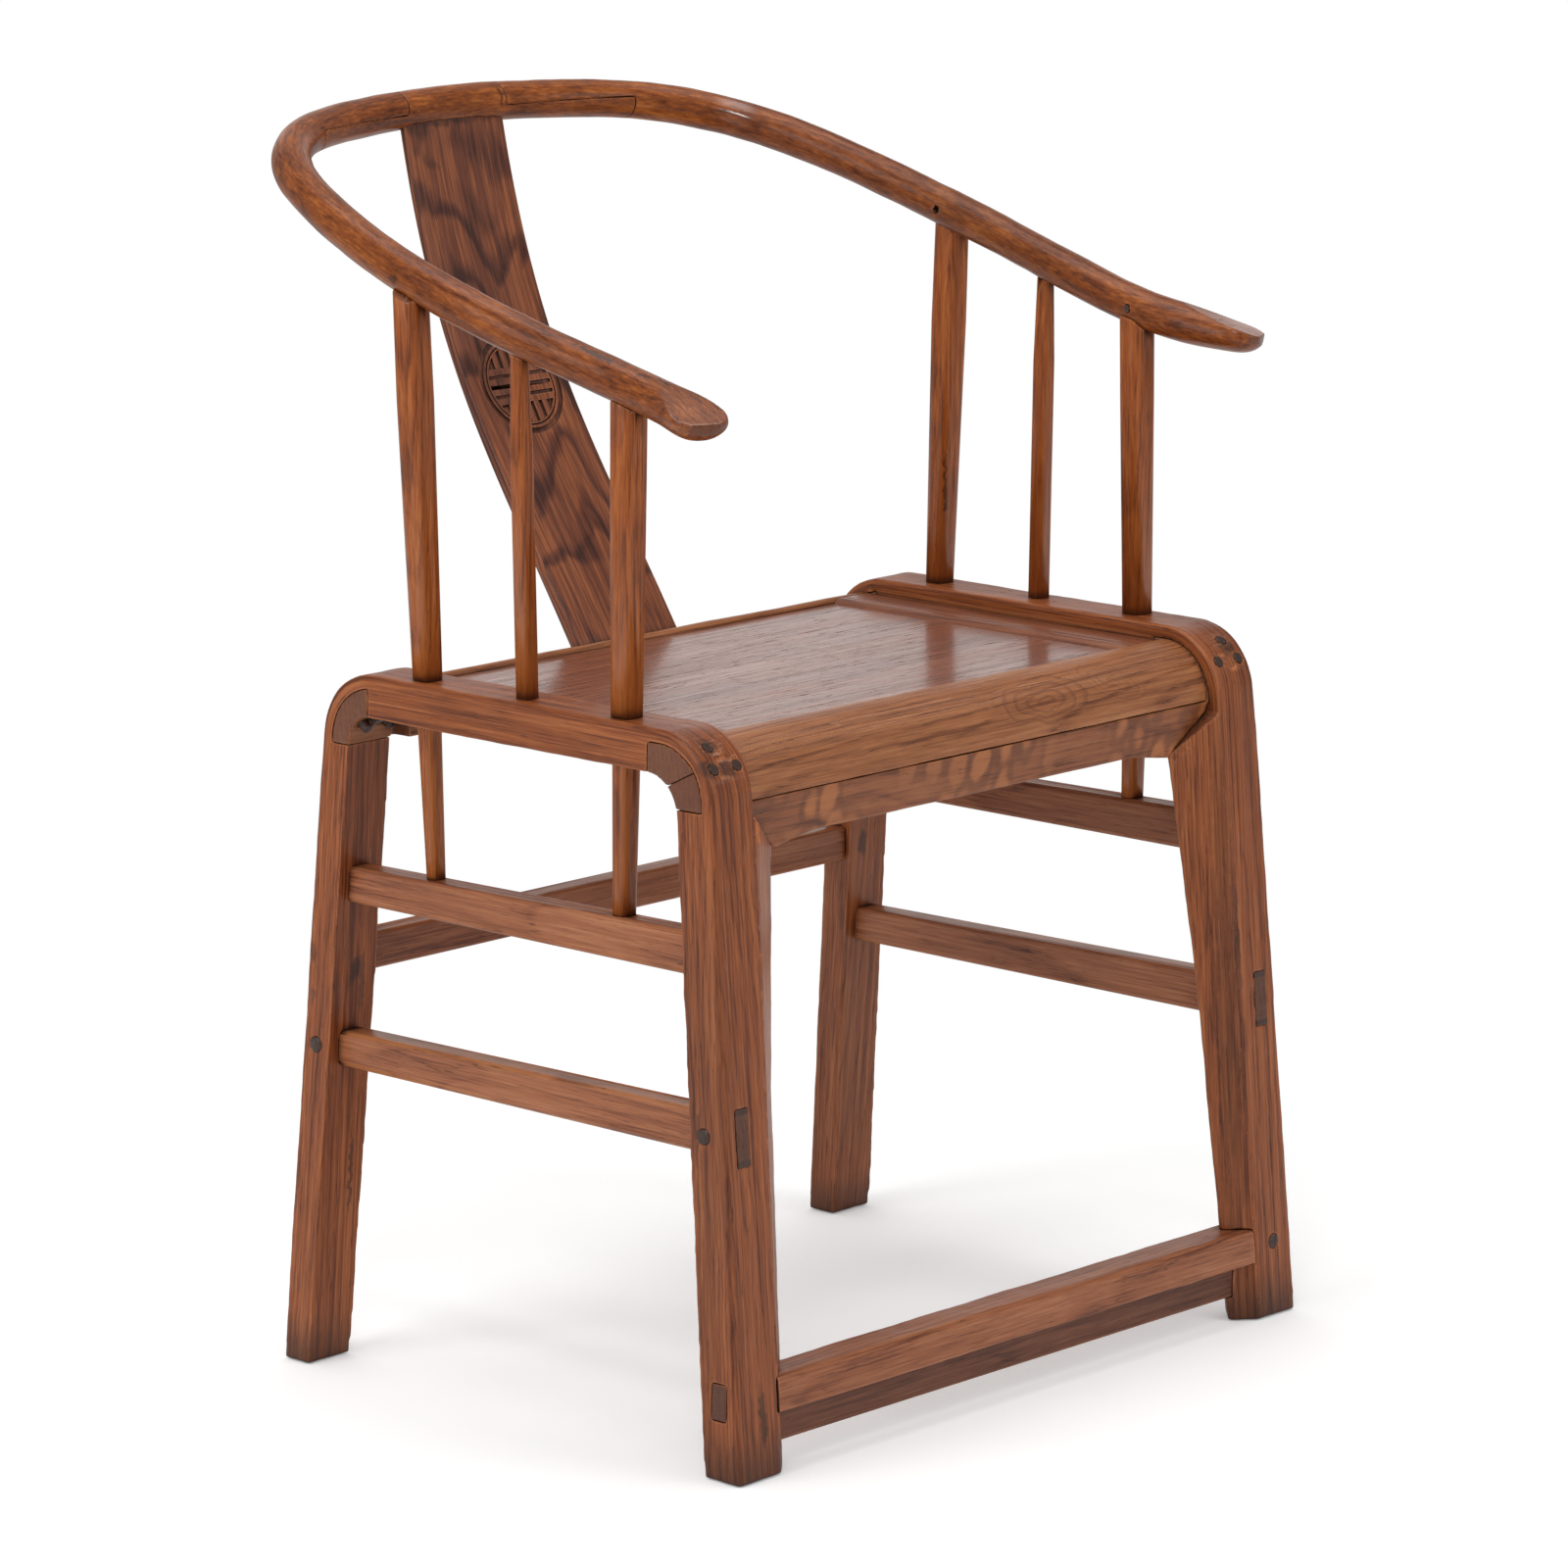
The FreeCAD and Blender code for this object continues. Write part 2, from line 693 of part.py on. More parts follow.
def scarf_wedge():
    """The locking wedge of the right scarf joint, driven in from the back and blind at the front."""
    outward = (scarf_start + scarf_end) / 2
    height = arm_curve_height(outward)
    half = wedge_width / 2
    front = arm_back - arm_radius - wedge_setback
    return box(outward - half, outward + half, front, arm_back + overrun, height - half, height + half)


def post_line(place, foot_shift, head_outward):
    """Three points on the axis of a right-hand post: at the stretcher, on the side rail, in the arm rail."""
    curve = arm_curve()
    head = curve.value(parameter_at(curve, place)) + across * head_outward
    foot_height = upper_stretcher_top(place)
    stretcher_x = outer_x(foot_height) - stretcher_recess - stretcher_thickness / 2
    return (vector(stretcher_x, place + foot_shift, foot_height),
            vector(seat_half_width - post_inset, place, seat_height), head)


def upper_stretcher_top(place):
    """Height of the upper side stretcher's sloping top at a distance behind the chair's centre."""
    front_top = upper_stretcher.front_bottom + upper_stretcher.front_height
    back_top = upper_stretcher.back_bottom + upper_stretcher.back_height
    share = (place + seat_half_depth) / (seat_half_depth * 2)
    return front_top + (back_top - front_top) * share


def soft_square(centre, width):
    """A level square outline with large round corners."""
    half = width / 2
    flat = half * (1 - post_corner_share)
    turn = half - (half - flat) * (1 - math.sqrt(0.5))
    edges = []
    for quarter in range(4):
        points = [(half, -flat), (half, flat), (turn, turn), (flat, half)]
        spots = [turned(centre, x, y, quarter) for x, y in points]
        edges.append(Part.LineSegment(spots[0], spots[1]).toShape())
        edges.append(Part.Arc(spots[1], spots[2], spots[3]).toShape())
    return Part.Wire(edges)


def turned(centre, x, y, quarter):
    """A point at (x, y) from a centre, turned by a number of quarter turns."""
    for _ in range(quarter):
        x, y = -y, x
    return centre + vector(x, y, 0)


def post_shank(line, foot_width, rail_width, gap):
    """The part of a post below its shoulder, from the stretcher up through the side rail."""
    foot, seat, _ = line
    grown = gap * 2
    sections = [soft_square(foot, foot_width + grown), soft_square(seat, rail_width + grown)]
    return Part.makeLoft(sections, True, True)


def post_top_peg(line, gap):
    """The round tenon at the head of a post, inside the arm rail."""
    _, seat, top = line
    axis = (top - seat).normalize()
    start = top - axis * (arm_radius - seat_gap)
    return Part.makeCylinder(post_top_tenon / 2 + gap, post_top_tenon_length + gap, start, axis)


def post_foot_peg(line, gap):
    """The round tenon at the foot of a post, inside the stretcher."""
    foot = line[0]
    length = post_foot_tenon_length + gap
    return Part.makeCylinder(post_foot_tenon / 2 + gap, length, foot - up * length, up)


def post_body(line, widths, rail):
    """The visible part of a post, swelling upward, its head scribed to the round rail."""
    _, seat, top = line
    swell = seat + (top - seat) * post_swell_share
    sections = [soft_square(seat, widths[0]), soft_square(swell, widths[1]), soft_square(top, widths[2])]
    return Part.makeLoft(sections, True, True).cut(rail)


def long_post(line, widths, rail):
    """A front or back post: body, shank through the side rail, and a tenon at each end."""
    body = largest_solid(post_body(line, widths[2:], rail))
    pieces = [post_shank(line, widths[0], widths[1], 0), post_foot_peg(line, 0), post_top_peg(line, 0)]
    return body.multiFuse(pieces).removeSplitter()


def middle_post_foot(line, gap):
    """The round tenon of the middle post in the side rail."""
    seat = line[1]
    length = middle_post_tenon_depth + gap
    return Part.makeCylinder(middle_post_tenon / 2 + gap, length, seat - up * length, up)


def middle_post(line, rail):
    """The slender middle post, which stops in the side rail."""
    widths = (middle_post_seat_width, middle_post_swell_width, middle_post_head_width)
    body = largest_solid(post_body(line, widths, rail))
    slim_peg = middle_post_head(line, 0)
    return body.multiFuse([middle_post_foot(line, 0), slim_peg]).removeSplitter()


def middle_post_head(line, gap):
    """The small tenon at the head of the middle post."""
    _, seat, top = line
    axis = (top - seat).normalize()
    start = top - axis * (arm_radius - seat_gap)
    radius = middle_post_head_width / 2 * post_swell_share
    return Part.makeCylinder(radius + gap, post_top_tenon_length + gap, start, axis)


def largest_solid(shape):
    """The largest solid of a shape."""
    return max(shape.Solids, key=lambda solid: solid.Volume)


def splat_front_points():
    """Points on the front face of the splat, from foot to head, as (y, z)."""
    low = seat_height - strip_thickness - seat_gap - back_bead_radius
    high = crest_height - arm_radius
    points = []
    for upward, backward in splat_shares:
        points.append((splat_foot + (splat_head - splat_foot) * backward, low + (high - low) * upward))
    return points


def splat_board(half_width, foot_reach, head_reach, gap):
    """The curved board of the splat, lengthened at foot and head, grown by a gap for a mortise."""
    spine = Part.BSplineCurve()
    spine.interpolate([vector(0, y, z) for y, z in splat_front_points()])
    front = splat_face_points(spine, -gap, -gap, foot_reach, head_reach)
    back = splat_face_points(spine, splat_foot_thickness + gap, splat_head_thickness + gap, foot_reach,
                             head_reach)
    edges = []
    for side in (front, back):
        curve = Part.BSplineCurve()
        curve.interpolate(side[1:-1])
        edges.append(curve.toShape())
        edges.append(Part.LineSegment(side[0], side[1]).toShape())
        edges.append(Part.LineSegment(side[-2], side[-1]).toShape())
    edges.append(Part.LineSegment(front[0], back[0]).toShape())
    edges.append(Part.LineSegment(front[-1], back[-1]).toShape())
    face = Part.Face(Part.Wire(Part.__sortEdges__(edges)))
    half = half_width + gap
    board = face.extrude(across * (half * 2))
    return board.translated(across * -half)


def splat_face_points(spine, foot_depth, head_depth, foot_reach, head_reach):
    """Points of one face of the splat, behind its front face by a depth that changes from foot to head."""
    start, finish = spine.FirstParameter, spine.LastParameter
    points = []
    ways = []
    for step in range(splat_steps + 1):
        share = step / splat_steps
        parameter = start + (finish - start) * share
        way = spine.tangent(parameter)[0].normalize()
        depth = foot_depth + (head_depth - foot_depth) * share
        ways.append(way)
        points.append(spine.value(parameter) + vector(0, way.z, -way.y) * depth)
    low = points[0] - ways[0] * foot_reach
    high = points[-1] + ways[-1] * head_reach
    return [low] + points + [high]


def splat_tenons(gap):
    """The narrower board that makes the splat's tenons at foot and head."""
    return splat_board(splat_tenon_half_width, splat_tenon_length + gap, splat_head_tenon_length + gap, gap)


def back_splat(back_rail, rail):
    """The splat, its shoulders scribed to the back seat rail and the crest rail."""
    wide = splat_board(splat_half_width, splat_tenon_length / 2, splat_head_tenon_length / 2, 0)
    shouldered = largest_solid(wide.cut(back_rail).cut(rail))
    return shouldered.fuse(splat_tenons(0)).removeSplitter()


def stretcher_span(stretcher):
    """Inner and outer X of a right side stretcher."""
    outer = outer_x(stretcher_middle(stretcher)) - stretcher_recess
    return outer - stretcher_thickness, outer


def stretcher_middle(stretcher):
    """Height of the middle of a side stretcher's front end."""
    return stretcher.front_bottom + stretcher.front_height / 2


def stretcher_back_middle(stretcher):
    """Height of the middle of a side stretcher's back end."""
    return stretcher.back_bottom + stretcher.back_height / 2


def front_tenon(stretcher, through, gap):
    """The tenon of a right side stretcher in the front leg, grown by a gap where it makes a mortise."""
    _, outer = stretcher_span(stretcher)
    middle = stretcher_middle(stretcher)
    height = stretcher.front_height if through else stretcher.tenon_height
    reach = front_leg_depth + overrun if through else stretcher_tenon_length + gap
    inner_face = front_leg_depth - leg_y(middle)
    rise = height / 2 + gap
    inner = outer - stretcher_tenon_thickness - gap
    return box(inner, outer + gap, inner_face - reach, inner_face + overrun, middle - rise, middle + rise)


def back_tenon(stretcher, gap):
    """The tenon of a right side stretcher in the back leg, grown by a gap where it makes a mortise."""
    _, outer = stretcher_span(stretcher)
    middle = stretcher_back_middle(stretcher)
    inner_face = leg_y(middle) - back_leg_depth
    rise = stretcher.tenon_height / 2 + gap
    return box(outer - stretcher_tenon_thickness - gap, outer + gap, inner_face - overrun,
               inner_face + stretcher_tenon_length + gap, middle - rise, middle + rise)


def side_stretcher(stretcher, through, frame):
    """A right side stretcher, lower at the back, its shoulders fitted to the two legs."""
    inner, outer = stretcher_span(stretcher)
    reach = leg_y(stretcher_middle(stretcher)) - strip_thickness
    back_top = stretcher.back_bottom + stretcher.back_height
    front_top = stretcher.front_bottom + stretcher.front_height
    outline = [(-reach, stretcher.front_bottom), (reach, stretcher.back_bottom), (reach, back_top),
               (-reach, front_top)]
    bar = prism_along_x(outline, inner, outer)
    bar = bar.makeFillet(stretcher_edge_radius, [edge for edge in bar.Edges if edge.Length > reach])
    bar = largest_solid(bar.cut(frame))
    tenons = [front_tenon(stretcher, through, 0).common(frame), back_tenon(stretcher, 0).common(frame)]
    return bar.multiFuse(tenons).removeSplitter()


def through_wedges():
    """The two tapered wedges above and below the through-tenon in the right front leg."""
    _, outer = stretcher_span(lower_stretcher)
    inner = outer - stretcher_tenon_thickness
    middle = stretcher_middle(lower_stretcher)
    back = front_leg_depth - leg_y(middle)
    front = back - front_leg_depth - overrun
    rise = through_wedge_height * (back - front) / front_leg_depth
    half = lower_stretcher.front_height / 2
    wedges = []
    for side in (1, -1):
        near = middle + half * side
        outline = [(front, near), (back, near), (front, near + rise * side)]
        wedges.append(prism_along_x(outline, inner, outer))
    return wedges


def back_stretcher_tenon(gap):
    """The tenon of the back stretcher in the right back leg."""
    middle = back_stretcher_bottom + back_stretcher_height / 2
    front = back_stretcher_front(middle)
    ridge = outer_x(middle) - side_rail_width
    rise = back_stretcher_tenon_height / 2 + gap
    return box(ridge - overrun, ridge + stretcher_tenon_length + gap, front - gap,
               front + stretcher_tenon_thickness + gap, middle - rise, middle + rise)


def back_stretcher_front(height):
    """Front face of the back stretcher."""
    return leg_y(height) - back_leg_depth + back_stretcher_recess


def back_stretcher(frames):
    """The stretcher between the back legs."""
    middle = back_stretcher_bottom + back_stretcher_height / 2
    front = back_stretcher_front(middle)
    reach = outer_x(middle) - side_rail_width / 2
    bar = box(-reach, reach, front, front + stretcher_thickness, back_stretcher_bottom,
              back_stretcher_bottom + back_stretcher_height)
    bar = bar.makeFillet(stretcher_edge_radius, [edge for edge in bar.Edges if edge.Length > reach])
    bar = largest_solid(bar.cut(frames))
    tenon = back_stretcher_tenon(0)
    tenons = tenon.fuse(mirrored(tenon)).common(frames)
    return bar.fuse(tenons).removeSplitter()


def footrest_bar(gap):
    """The footrest between the front legs, its face following the legs' slope."""
    low, high = footrest_bottom - gap, footrest_bottom + footrest_height + gap
    back = footrest_depth + gap
    points = [(-leg_y(low), low), (-leg_y(high), high), (back - leg_y(high), high), (back - leg_y(low), low)]
    bar = prism_along_x(points, -foot_half_width, foot_half_width)
    if not gap:
        bar = bar.makeFillet(footrest_edge_radius, long_edges_at(bar, -leg_y(high), high))
    return bar.common(between_side_faces(side_rail_width + seat_gap - gap))


def footrest_tenon(gap):
    """The footrest's tenons, which run through both front legs to their outer faces."""
    middle = footrest_bottom + footrest_height / 2
    front = footrest_tenon_inset - leg_y(middle)
    bar = box(-foot_half_width, foot_half_width, front - gap, front + footrest_tenon_thickness + gap,
              footrest_bottom - gap, footrest_bottom + footrest_height + gap)
    return bar.common(between_side_faces(0)) if not gap else bar


def footrest():
    """The front stretcher that also serves as a footrest."""
    return footrest_bar(0).fuse(footrest_tenon(0)).removeSplitter()


def footrest_apron(gap):
    """The thin strip under the footrest, let a little way into both legs."""
    middle = footrest_apron_bottom
    front = footrest_apron_setback - leg_y(middle)
    reach = outer_x(middle) - side_rail_width - foot_flange_width + stub_length + gap
    back = front + footrest_apron_thickness
    return box(-reach, reach, front - gap, back + gap, footrest_apron_bottom - gap, footrest_bottom)


def corner_pegs(end, extra):
    """The three pegs of one right-hand bend, lengthened outward by extra where they make holes."""
    start = math.atan(leg_lean)
    centre_y = leg_y(bend_centre_height) - bend_radius * leg_steepness
    pegs = []
    for turn, sideways in corner_peg_shares:
        angle = start + (math.pi / 2 - start) * turn
        way = vector(0, end * math.cos(angle), math.sin(angle))
        skin = vector(0, end * centre_y, bend_centre_height) + way * bend_radius
        skin.x = outer_x(skin.z) - side_rail_width / 2 + corner_peg_spread * sideways
        spot = skin + way * extra
        pegs.append(Part.makeCylinder(corner_peg_radius, corner_peg_length + extra, spot, way * -1))
    return pegs


def side_pegs(extra):
    """The pegs through the right legs' outer faces into the lower side stretcher's tenons."""
    front_height = stretcher_middle(lower_stretcher)
    back_height = stretcher_back_middle(lower_stretcher)
    places = ((front_leg_depth / 2 + front_side_peg_setback - leg_y(front_height), front_height),
              (leg_y(back_height) - back_leg_depth / 2, back_height + back_side_peg_rise))
    pegs = []
    for y, z in places:
        start = vector(outer_x(z) + extra, y, z)
        pegs.append(Part.makeCylinder(side_peg_radius, side_peg_length + extra, start, across * -1))
    return pegs


def footrest_peg(extra):
    """The peg through the front of the right leg into the footrest's tenon."""
    height = footrest_bottom + footrest_height / 2
    start = vector(outer_x(height) - side_rail_width / 2, -leg_y(height) - extra, height)
    return Part.makeCylinder(side_peg_radius, front_peg_length + extra, start, forward)


def arm_pegs(extra):
    """The small pegs from inside the right arm into the heads of the front and back posts."""
    pegs = []
    lines = post_lines()
    for name in ("back", "front"):
        top = lines[name][2]
        start = top - across * (arm_radius + extra)
        pegs.append(Part.makeCylinder(arm_peg_radius, arm_radius + arm_peg_reach + extra, start, across))
    return pegs


def cut_all(shape, tools):
    """A shape less every tool."""
    for tool in tools:
        shape = shape.cut(tool)
    return shape


def both_sides(solids):
    """Solids for the right side together with their mirror images."""
    return solids + [mirrored(solid) for solid in solids]


def build_seat(parts):
    """Side frames, seat frame, panel, batten, apron and the parts between the legs."""
    frame = side_frame_core().fuse(front_leg_flange()).removeSplitter()
    frames = frame.fuse(mirrored(frame))
    front_rail = front_rail_blank()
    back_rail = back_rail_blank()
    pegs = corner_pegs(FRONT, 0) + corner_pegs(BACK, 0)
    peg_holes = corner_pegs(FRONT, overrun) + corner_pegs(BACK, overrun)
    upper = side_stretcher(upper_stretcher, False, frame)
    lower = side_stretcher(lower_stretcher, True, frame)
    lower = cut_all(lower, side_pegs(overrun))
    wedges = [wedge.common(frame) for wedge in through_wedges()]
    mortises = [front_tenon(upper_stretcher, False, tenon_gap), back_tenon(upper_stretcher, tenon_gap),
                front_tenon(lower_stretcher, True, tenon_gap), back_tenon(lower_stretcher, tenon_gap),
                back_stretcher_tenon(tenon_gap), footrest_bar(tenon_gap), footrest_tenon(tenon_gap),
                footrest_apron(tenon_gap)]
    lines = post_lines()
    holes = [post_shank(lines["back"], back_post_foot_width, back_post_rail_width, tenon_gap),
             post_shank(lines["front"], front_post_foot_width, front_post_rail_width, tenon_gap),
             middle_post_foot(lines["middle"], tenon_gap)]
    frame_cuts = mortises + through_wedges() + holes + peg_holes + side_pegs(overrun)
    right_frame = largest_solid(cut_all(frame, frame_cuts))
    left_frame = mirrored(right_frame)
    parts["left_side_frame"] = left_frame
    parts["right_side_frame"] = largest_solid(right_frame.cut(footrest_peg(overrun)))
    rail_mortises = both_sides([inner_rail_tenon(tenon_gap)] + peg_holes) + [batten_tenons(tenon_gap)]
    parts["front_seat_rail"] = largest_solid(cut_all(front_rail, rail_mortises))
    parts["back_seat_rail"] = largest_solid(cut_all(back_rail, rail_mortises + [splat_tenons(tenon_gap)]))
    rail = inner_rail(front_rail, back_rail)
    parts["right_inner_seat_rail"] = rail
    parts["left_inner_seat_rail"] = mirrored(rail)
    parts["seat_panel"] = seat_panel()
    parts["seat_batten"] = seat_batten(0)
    parts["front_apron"] = largest_solid(cut_all(front_apron(), both_sides(peg_holes)))
    foot_pegs = [post_foot_peg(lines["back"], tenon_gap), post_foot_peg(lines["front"], tenon_gap)]
    upper = largest_solid(cut_all(upper, foot_pegs))
    for name, shape in (("upper_side_stretcher", upper), ("lower_side_stretcher", largest_solid(lower))):
        parts["right_" + name] = shape
        parts["left_" + name] = mirrored(shape)
    parts["back_stretcher"] = back_stretcher(frames)
    parts["footrest"] = largest_solid(footrest().cut(footrest_peg(overrun)))
    parts["footrest_apron"] = footrest_apron(0)
    parts["through_tenon_wedges"] = Part.makeCompound(both_sides(wedges))
    parts["corner_pegs"] = Part.makeCompound(both_sides(pegs))
    parts["stretcher_pegs"] = Part.makeCompound(both_sides(side_pegs(0)) + [footrest_peg(0)])


def post_lines():
    """The axes of the three right-hand posts."""
    return {"back": post_line(back_post_place, back_post_foot_shift, back_post_head_outward),
            "middle": post_line(middle_post_shift, 0, 0),
            "front": post_line(front_post_place, front_post_foot_shift, front_post_head_outward)}


def build_back(parts):
    """Horseshoe rail in three sections, its wedges, the splat, the posts and the arm pegs."""
    rail = largest_solid(cut_all(whole_arm_rail(), both_sides([grip_facet()])))
    lines = post_lines()
    wedge = scarf_wedge()
    zone = crest_zone()
    peg_holes = arm_pegs(overrun)
    post_holes = [post_top_peg(lines["back"], tenon_gap), post_top_peg(lines["front"], tenon_gap),
                  middle_post_head(lines["middle"], tenon_gap)]
    crest_cuts = both_sides([wedge]) + [splat_tenons(tenon_gap)]
    parts["crest_rail"] = largest_solid(cut_all(rail.common(zone), crest_cuts))
    right_half = box(0, foot_half_width * 2, -foot_half_depth * 2, arm_back * 2, 0, crest_height * 2)
    arm = largest_solid(cut_all(rail.cut(zone).common(right_half), [wedge] + post_holes + peg_holes))
    parts["right_arm_rail"] = arm
    parts["left_arm_rail"] = mirrored(arm)
    parts["scarf_wedges"] = Part.makeCompound(both_sides([wedge.common(rail)]))
    back_widths = (back_post_foot_width, back_post_rail_width, back_post_seat_width, back_post_swell_width,
                   back_post_head_width)
    front_widths = (front_post_foot_width, front_post_rail_width, front_post_seat_width,
                    front_post_swell_width, front_post_head_width)
    posts = {"back_post": long_post(lines["back"], back_widths, rail),
             "front_post": long_post(lines["front"], front_widths, rail),
             "middle_post": middle_post(lines["middle"], rail)}
    for name, post in posts.items():
        fitted = largest_solid(cut_all(post, peg_holes))
        parts["right_" + name] = fitted
        parts["left_" + name] = mirrored(fitted)
    parts["back_splat"] = back_splat(back_rail_blank(), rail)
    parts["arm_pegs"] = Part.makeCompound(both_sides([peg.common(rail) for peg in arm_pegs(0)]))


def main():
    """Build every sub-part and write one STEP file for each."""
    os.makedirs("parts", exist_ok=True)
    parts = {}
    build_seat(parts)
    build_back(parts)
    to_middle = forward * ((foot_half_depth - arm_back - arm_radius) / 2)
    for name, shape in parts.items():
        print(name, len(shape.Solids), shape.isValid(), round(shape.Volume))
        shape.translated(to_middle).exportStep("parts/" + name + ".step")


main()
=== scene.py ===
"""Dresses the horseshoe back armchair: old satin-polished elm, worn along its edges, darkened in its joints and
corners by grime and painted shade.
"""

import logging
import math
from collections.abc import Callable
from dataclasses import dataclass, replace
from enum import Enum

import bpy
import numpy as np
from bpy.types import ID, Material, Mesh, Node, NodeSocket, Object, bpy_prop_collection
from mathutils import Matrix, Vector, noise

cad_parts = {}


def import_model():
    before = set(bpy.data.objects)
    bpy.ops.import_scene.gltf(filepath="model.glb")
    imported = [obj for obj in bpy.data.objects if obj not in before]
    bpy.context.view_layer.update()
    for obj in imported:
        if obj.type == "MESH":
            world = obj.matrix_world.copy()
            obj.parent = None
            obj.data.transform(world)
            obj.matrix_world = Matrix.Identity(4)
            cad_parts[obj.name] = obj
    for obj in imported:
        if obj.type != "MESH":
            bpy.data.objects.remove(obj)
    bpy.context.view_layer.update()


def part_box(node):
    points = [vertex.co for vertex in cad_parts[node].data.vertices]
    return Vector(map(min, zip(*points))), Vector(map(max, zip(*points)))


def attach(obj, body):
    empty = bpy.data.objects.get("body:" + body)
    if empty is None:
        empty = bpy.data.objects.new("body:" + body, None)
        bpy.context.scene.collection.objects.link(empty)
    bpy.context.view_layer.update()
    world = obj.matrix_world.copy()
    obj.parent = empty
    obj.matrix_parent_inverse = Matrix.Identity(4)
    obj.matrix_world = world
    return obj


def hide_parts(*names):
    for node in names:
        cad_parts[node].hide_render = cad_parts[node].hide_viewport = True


GRAIN = "grain"
END_GRAIN = "end_grain"
MILLIMETRE = 0.001
CENTRE = -0.07205
WHITE = (1.0, 1.0, 1.0, 1.0)
log = logging.getLogger("armchair")


class Way(Enum):
    """The way that a straight timber runs."""

    SIDEWAYS = 0
    LENGTHWAYS = 1
    UPWARDS = 2


def paint(*screen: int) -> tuple:
    """Gives the linear, opaque colour of red, green and blue screen values from 0 to 255."""
    shares = (value / 255 for value in screen)
    return (*(s / 12.92 if s <= 0.04045 else ((s + 0.055) / 1.055) ** 2.4 for s in shares), 1.0)


class Num:
    """A number socket that takes part in Python sums and products."""

    def __init__(self, shader: "Shader", socket: NodeSocket) -> None:
        """Keeps the shader that the socket belongs to."""
        self.shader = shader
        self.socket = socket

    def maths(self, operation: str, *values: "Num | float") -> "Num":
        """Adds one Math node with its inputs in order."""
        return self.shader.number("Math", {"operation": operation}, dict(enumerate(values)))

    def __add__(self, other: "Num | float") -> "Num":
        """Gives the sum."""
        return self.maths("ADD", self, other)

    def __radd__(self, other: float) -> "Num":
        """Gives the sum with a plain number first."""
        return self.maths("ADD", other, self)

    def __sub__(self, other: "Num | float") -> "Num":
        """Gives the difference."""
        return self.maths("SUBTRACT", self, other)

    def __rsub__(self, other: float) -> "Num":
        """Gives a plain number less this one."""
        return self.maths("SUBTRACT", other, self)

    def __mul__(self, other: "Num | float") -> "Num":
        """Gives the product."""
        return self.maths("MULTIPLY", self, other)

    def __rmul__(self, other: float) -> "Num":
        """Gives the product with a plain number first."""
        return self.maths("MULTIPLY", other, self)

    def __truediv__(self, other: "Num | float") -> "Num":
        """Gives the quotient."""
        return self.maths("DIVIDE", self, other)

    def root(self) -> "Num":
        """Gives the square root."""
        return self.maths("SQRT", self)

    def fraction(self) -> "Num":
        """Gives the part after the point."""
        return self.maths("FRACT", self)

    def most(self, other: "Num | None") -> "Num":
        """Gives the greater of two numbers, or this one where there is no other."""
        return self if other is None else self.maths("MAXIMUM", other, self)

    def step(self, low: float, high: float) -> "Num":
        """Rises smoothly from 0 where this number is low to 1 where it is high."""
        inputs = {"Value": self, "From Min": low, "From Max": high}
        return self.shader.number("MapRange", {"interpolation_type": "SMOOTHSTEP"}, inputs)


class Shader:
    """The node tree of a material or of the world."""

    def __init__(self, owner: ID) -> None:
        """Starts with an empty tree.

        Args:
            owner: the material or world.
        """
        owner.use_nodes = True
        self.owner = owner
        self.tree = owner.node_tree
        self.tree.nodes.clear()

    def add(self, kind: str, settings: dict | None = None, inputs: dict | None = None) -> Node:
        """Adds one node.

        Args:
            kind: the node's type, without its prefix.
            settings: its own properties, set first.
            inputs: values or links by the name or number of the socket.

        Returns:
            The node.
        """
        node = self.tree.nodes.new("ShaderNode" + kind)
        for name, value in (settings or {}).items():
            setattr(node, name, value)
        for name, value in (inputs or {}).items():
            if isinstance(value, Num):
                value = value.socket
            if isinstance(value, NodeSocket):
                self.tree.links.new(value, node.inputs[name])
            else:
                node.inputs[name].default_value = value
        return node

    def number(self, kind: str, settings: dict | None = None, inputs: dict | None = None,
               output: int | str = 0) -> Num:
        """Adds one node and gives one of its outputs, by name or number, as a number."""
        return Num(self, self.add(kind, settings, inputs).outputs[output])

    def mixed(self, share: Num, first: object, second: object) -> NodeSocket:
        """Blends two colours, from the first at share 0 to the second at share 1."""
        return self.add("Mix", {"data_type": "RGBA"}, {0: share, 6: first, 7: second}).outputs[2]

    def vector(self, operation: str, *values: object) -> NodeSocket:
        """Adds one Vector Math node with its inputs in order."""
        return self.add("VectorMath", {"operation": operation}, dict(enumerate(values))).outputs[0]


@dataclass(frozen=True)
class Mark:
    """One place of a finish, in millimetres: a stain, knot, crack, oval figure, rubbed glossy patch or patch of
    painted shade.
    """

    place: tuple
    reach: tuple
    strength: float = 0.8
    turn: tuple = (0.0, 0.0, 0.0)


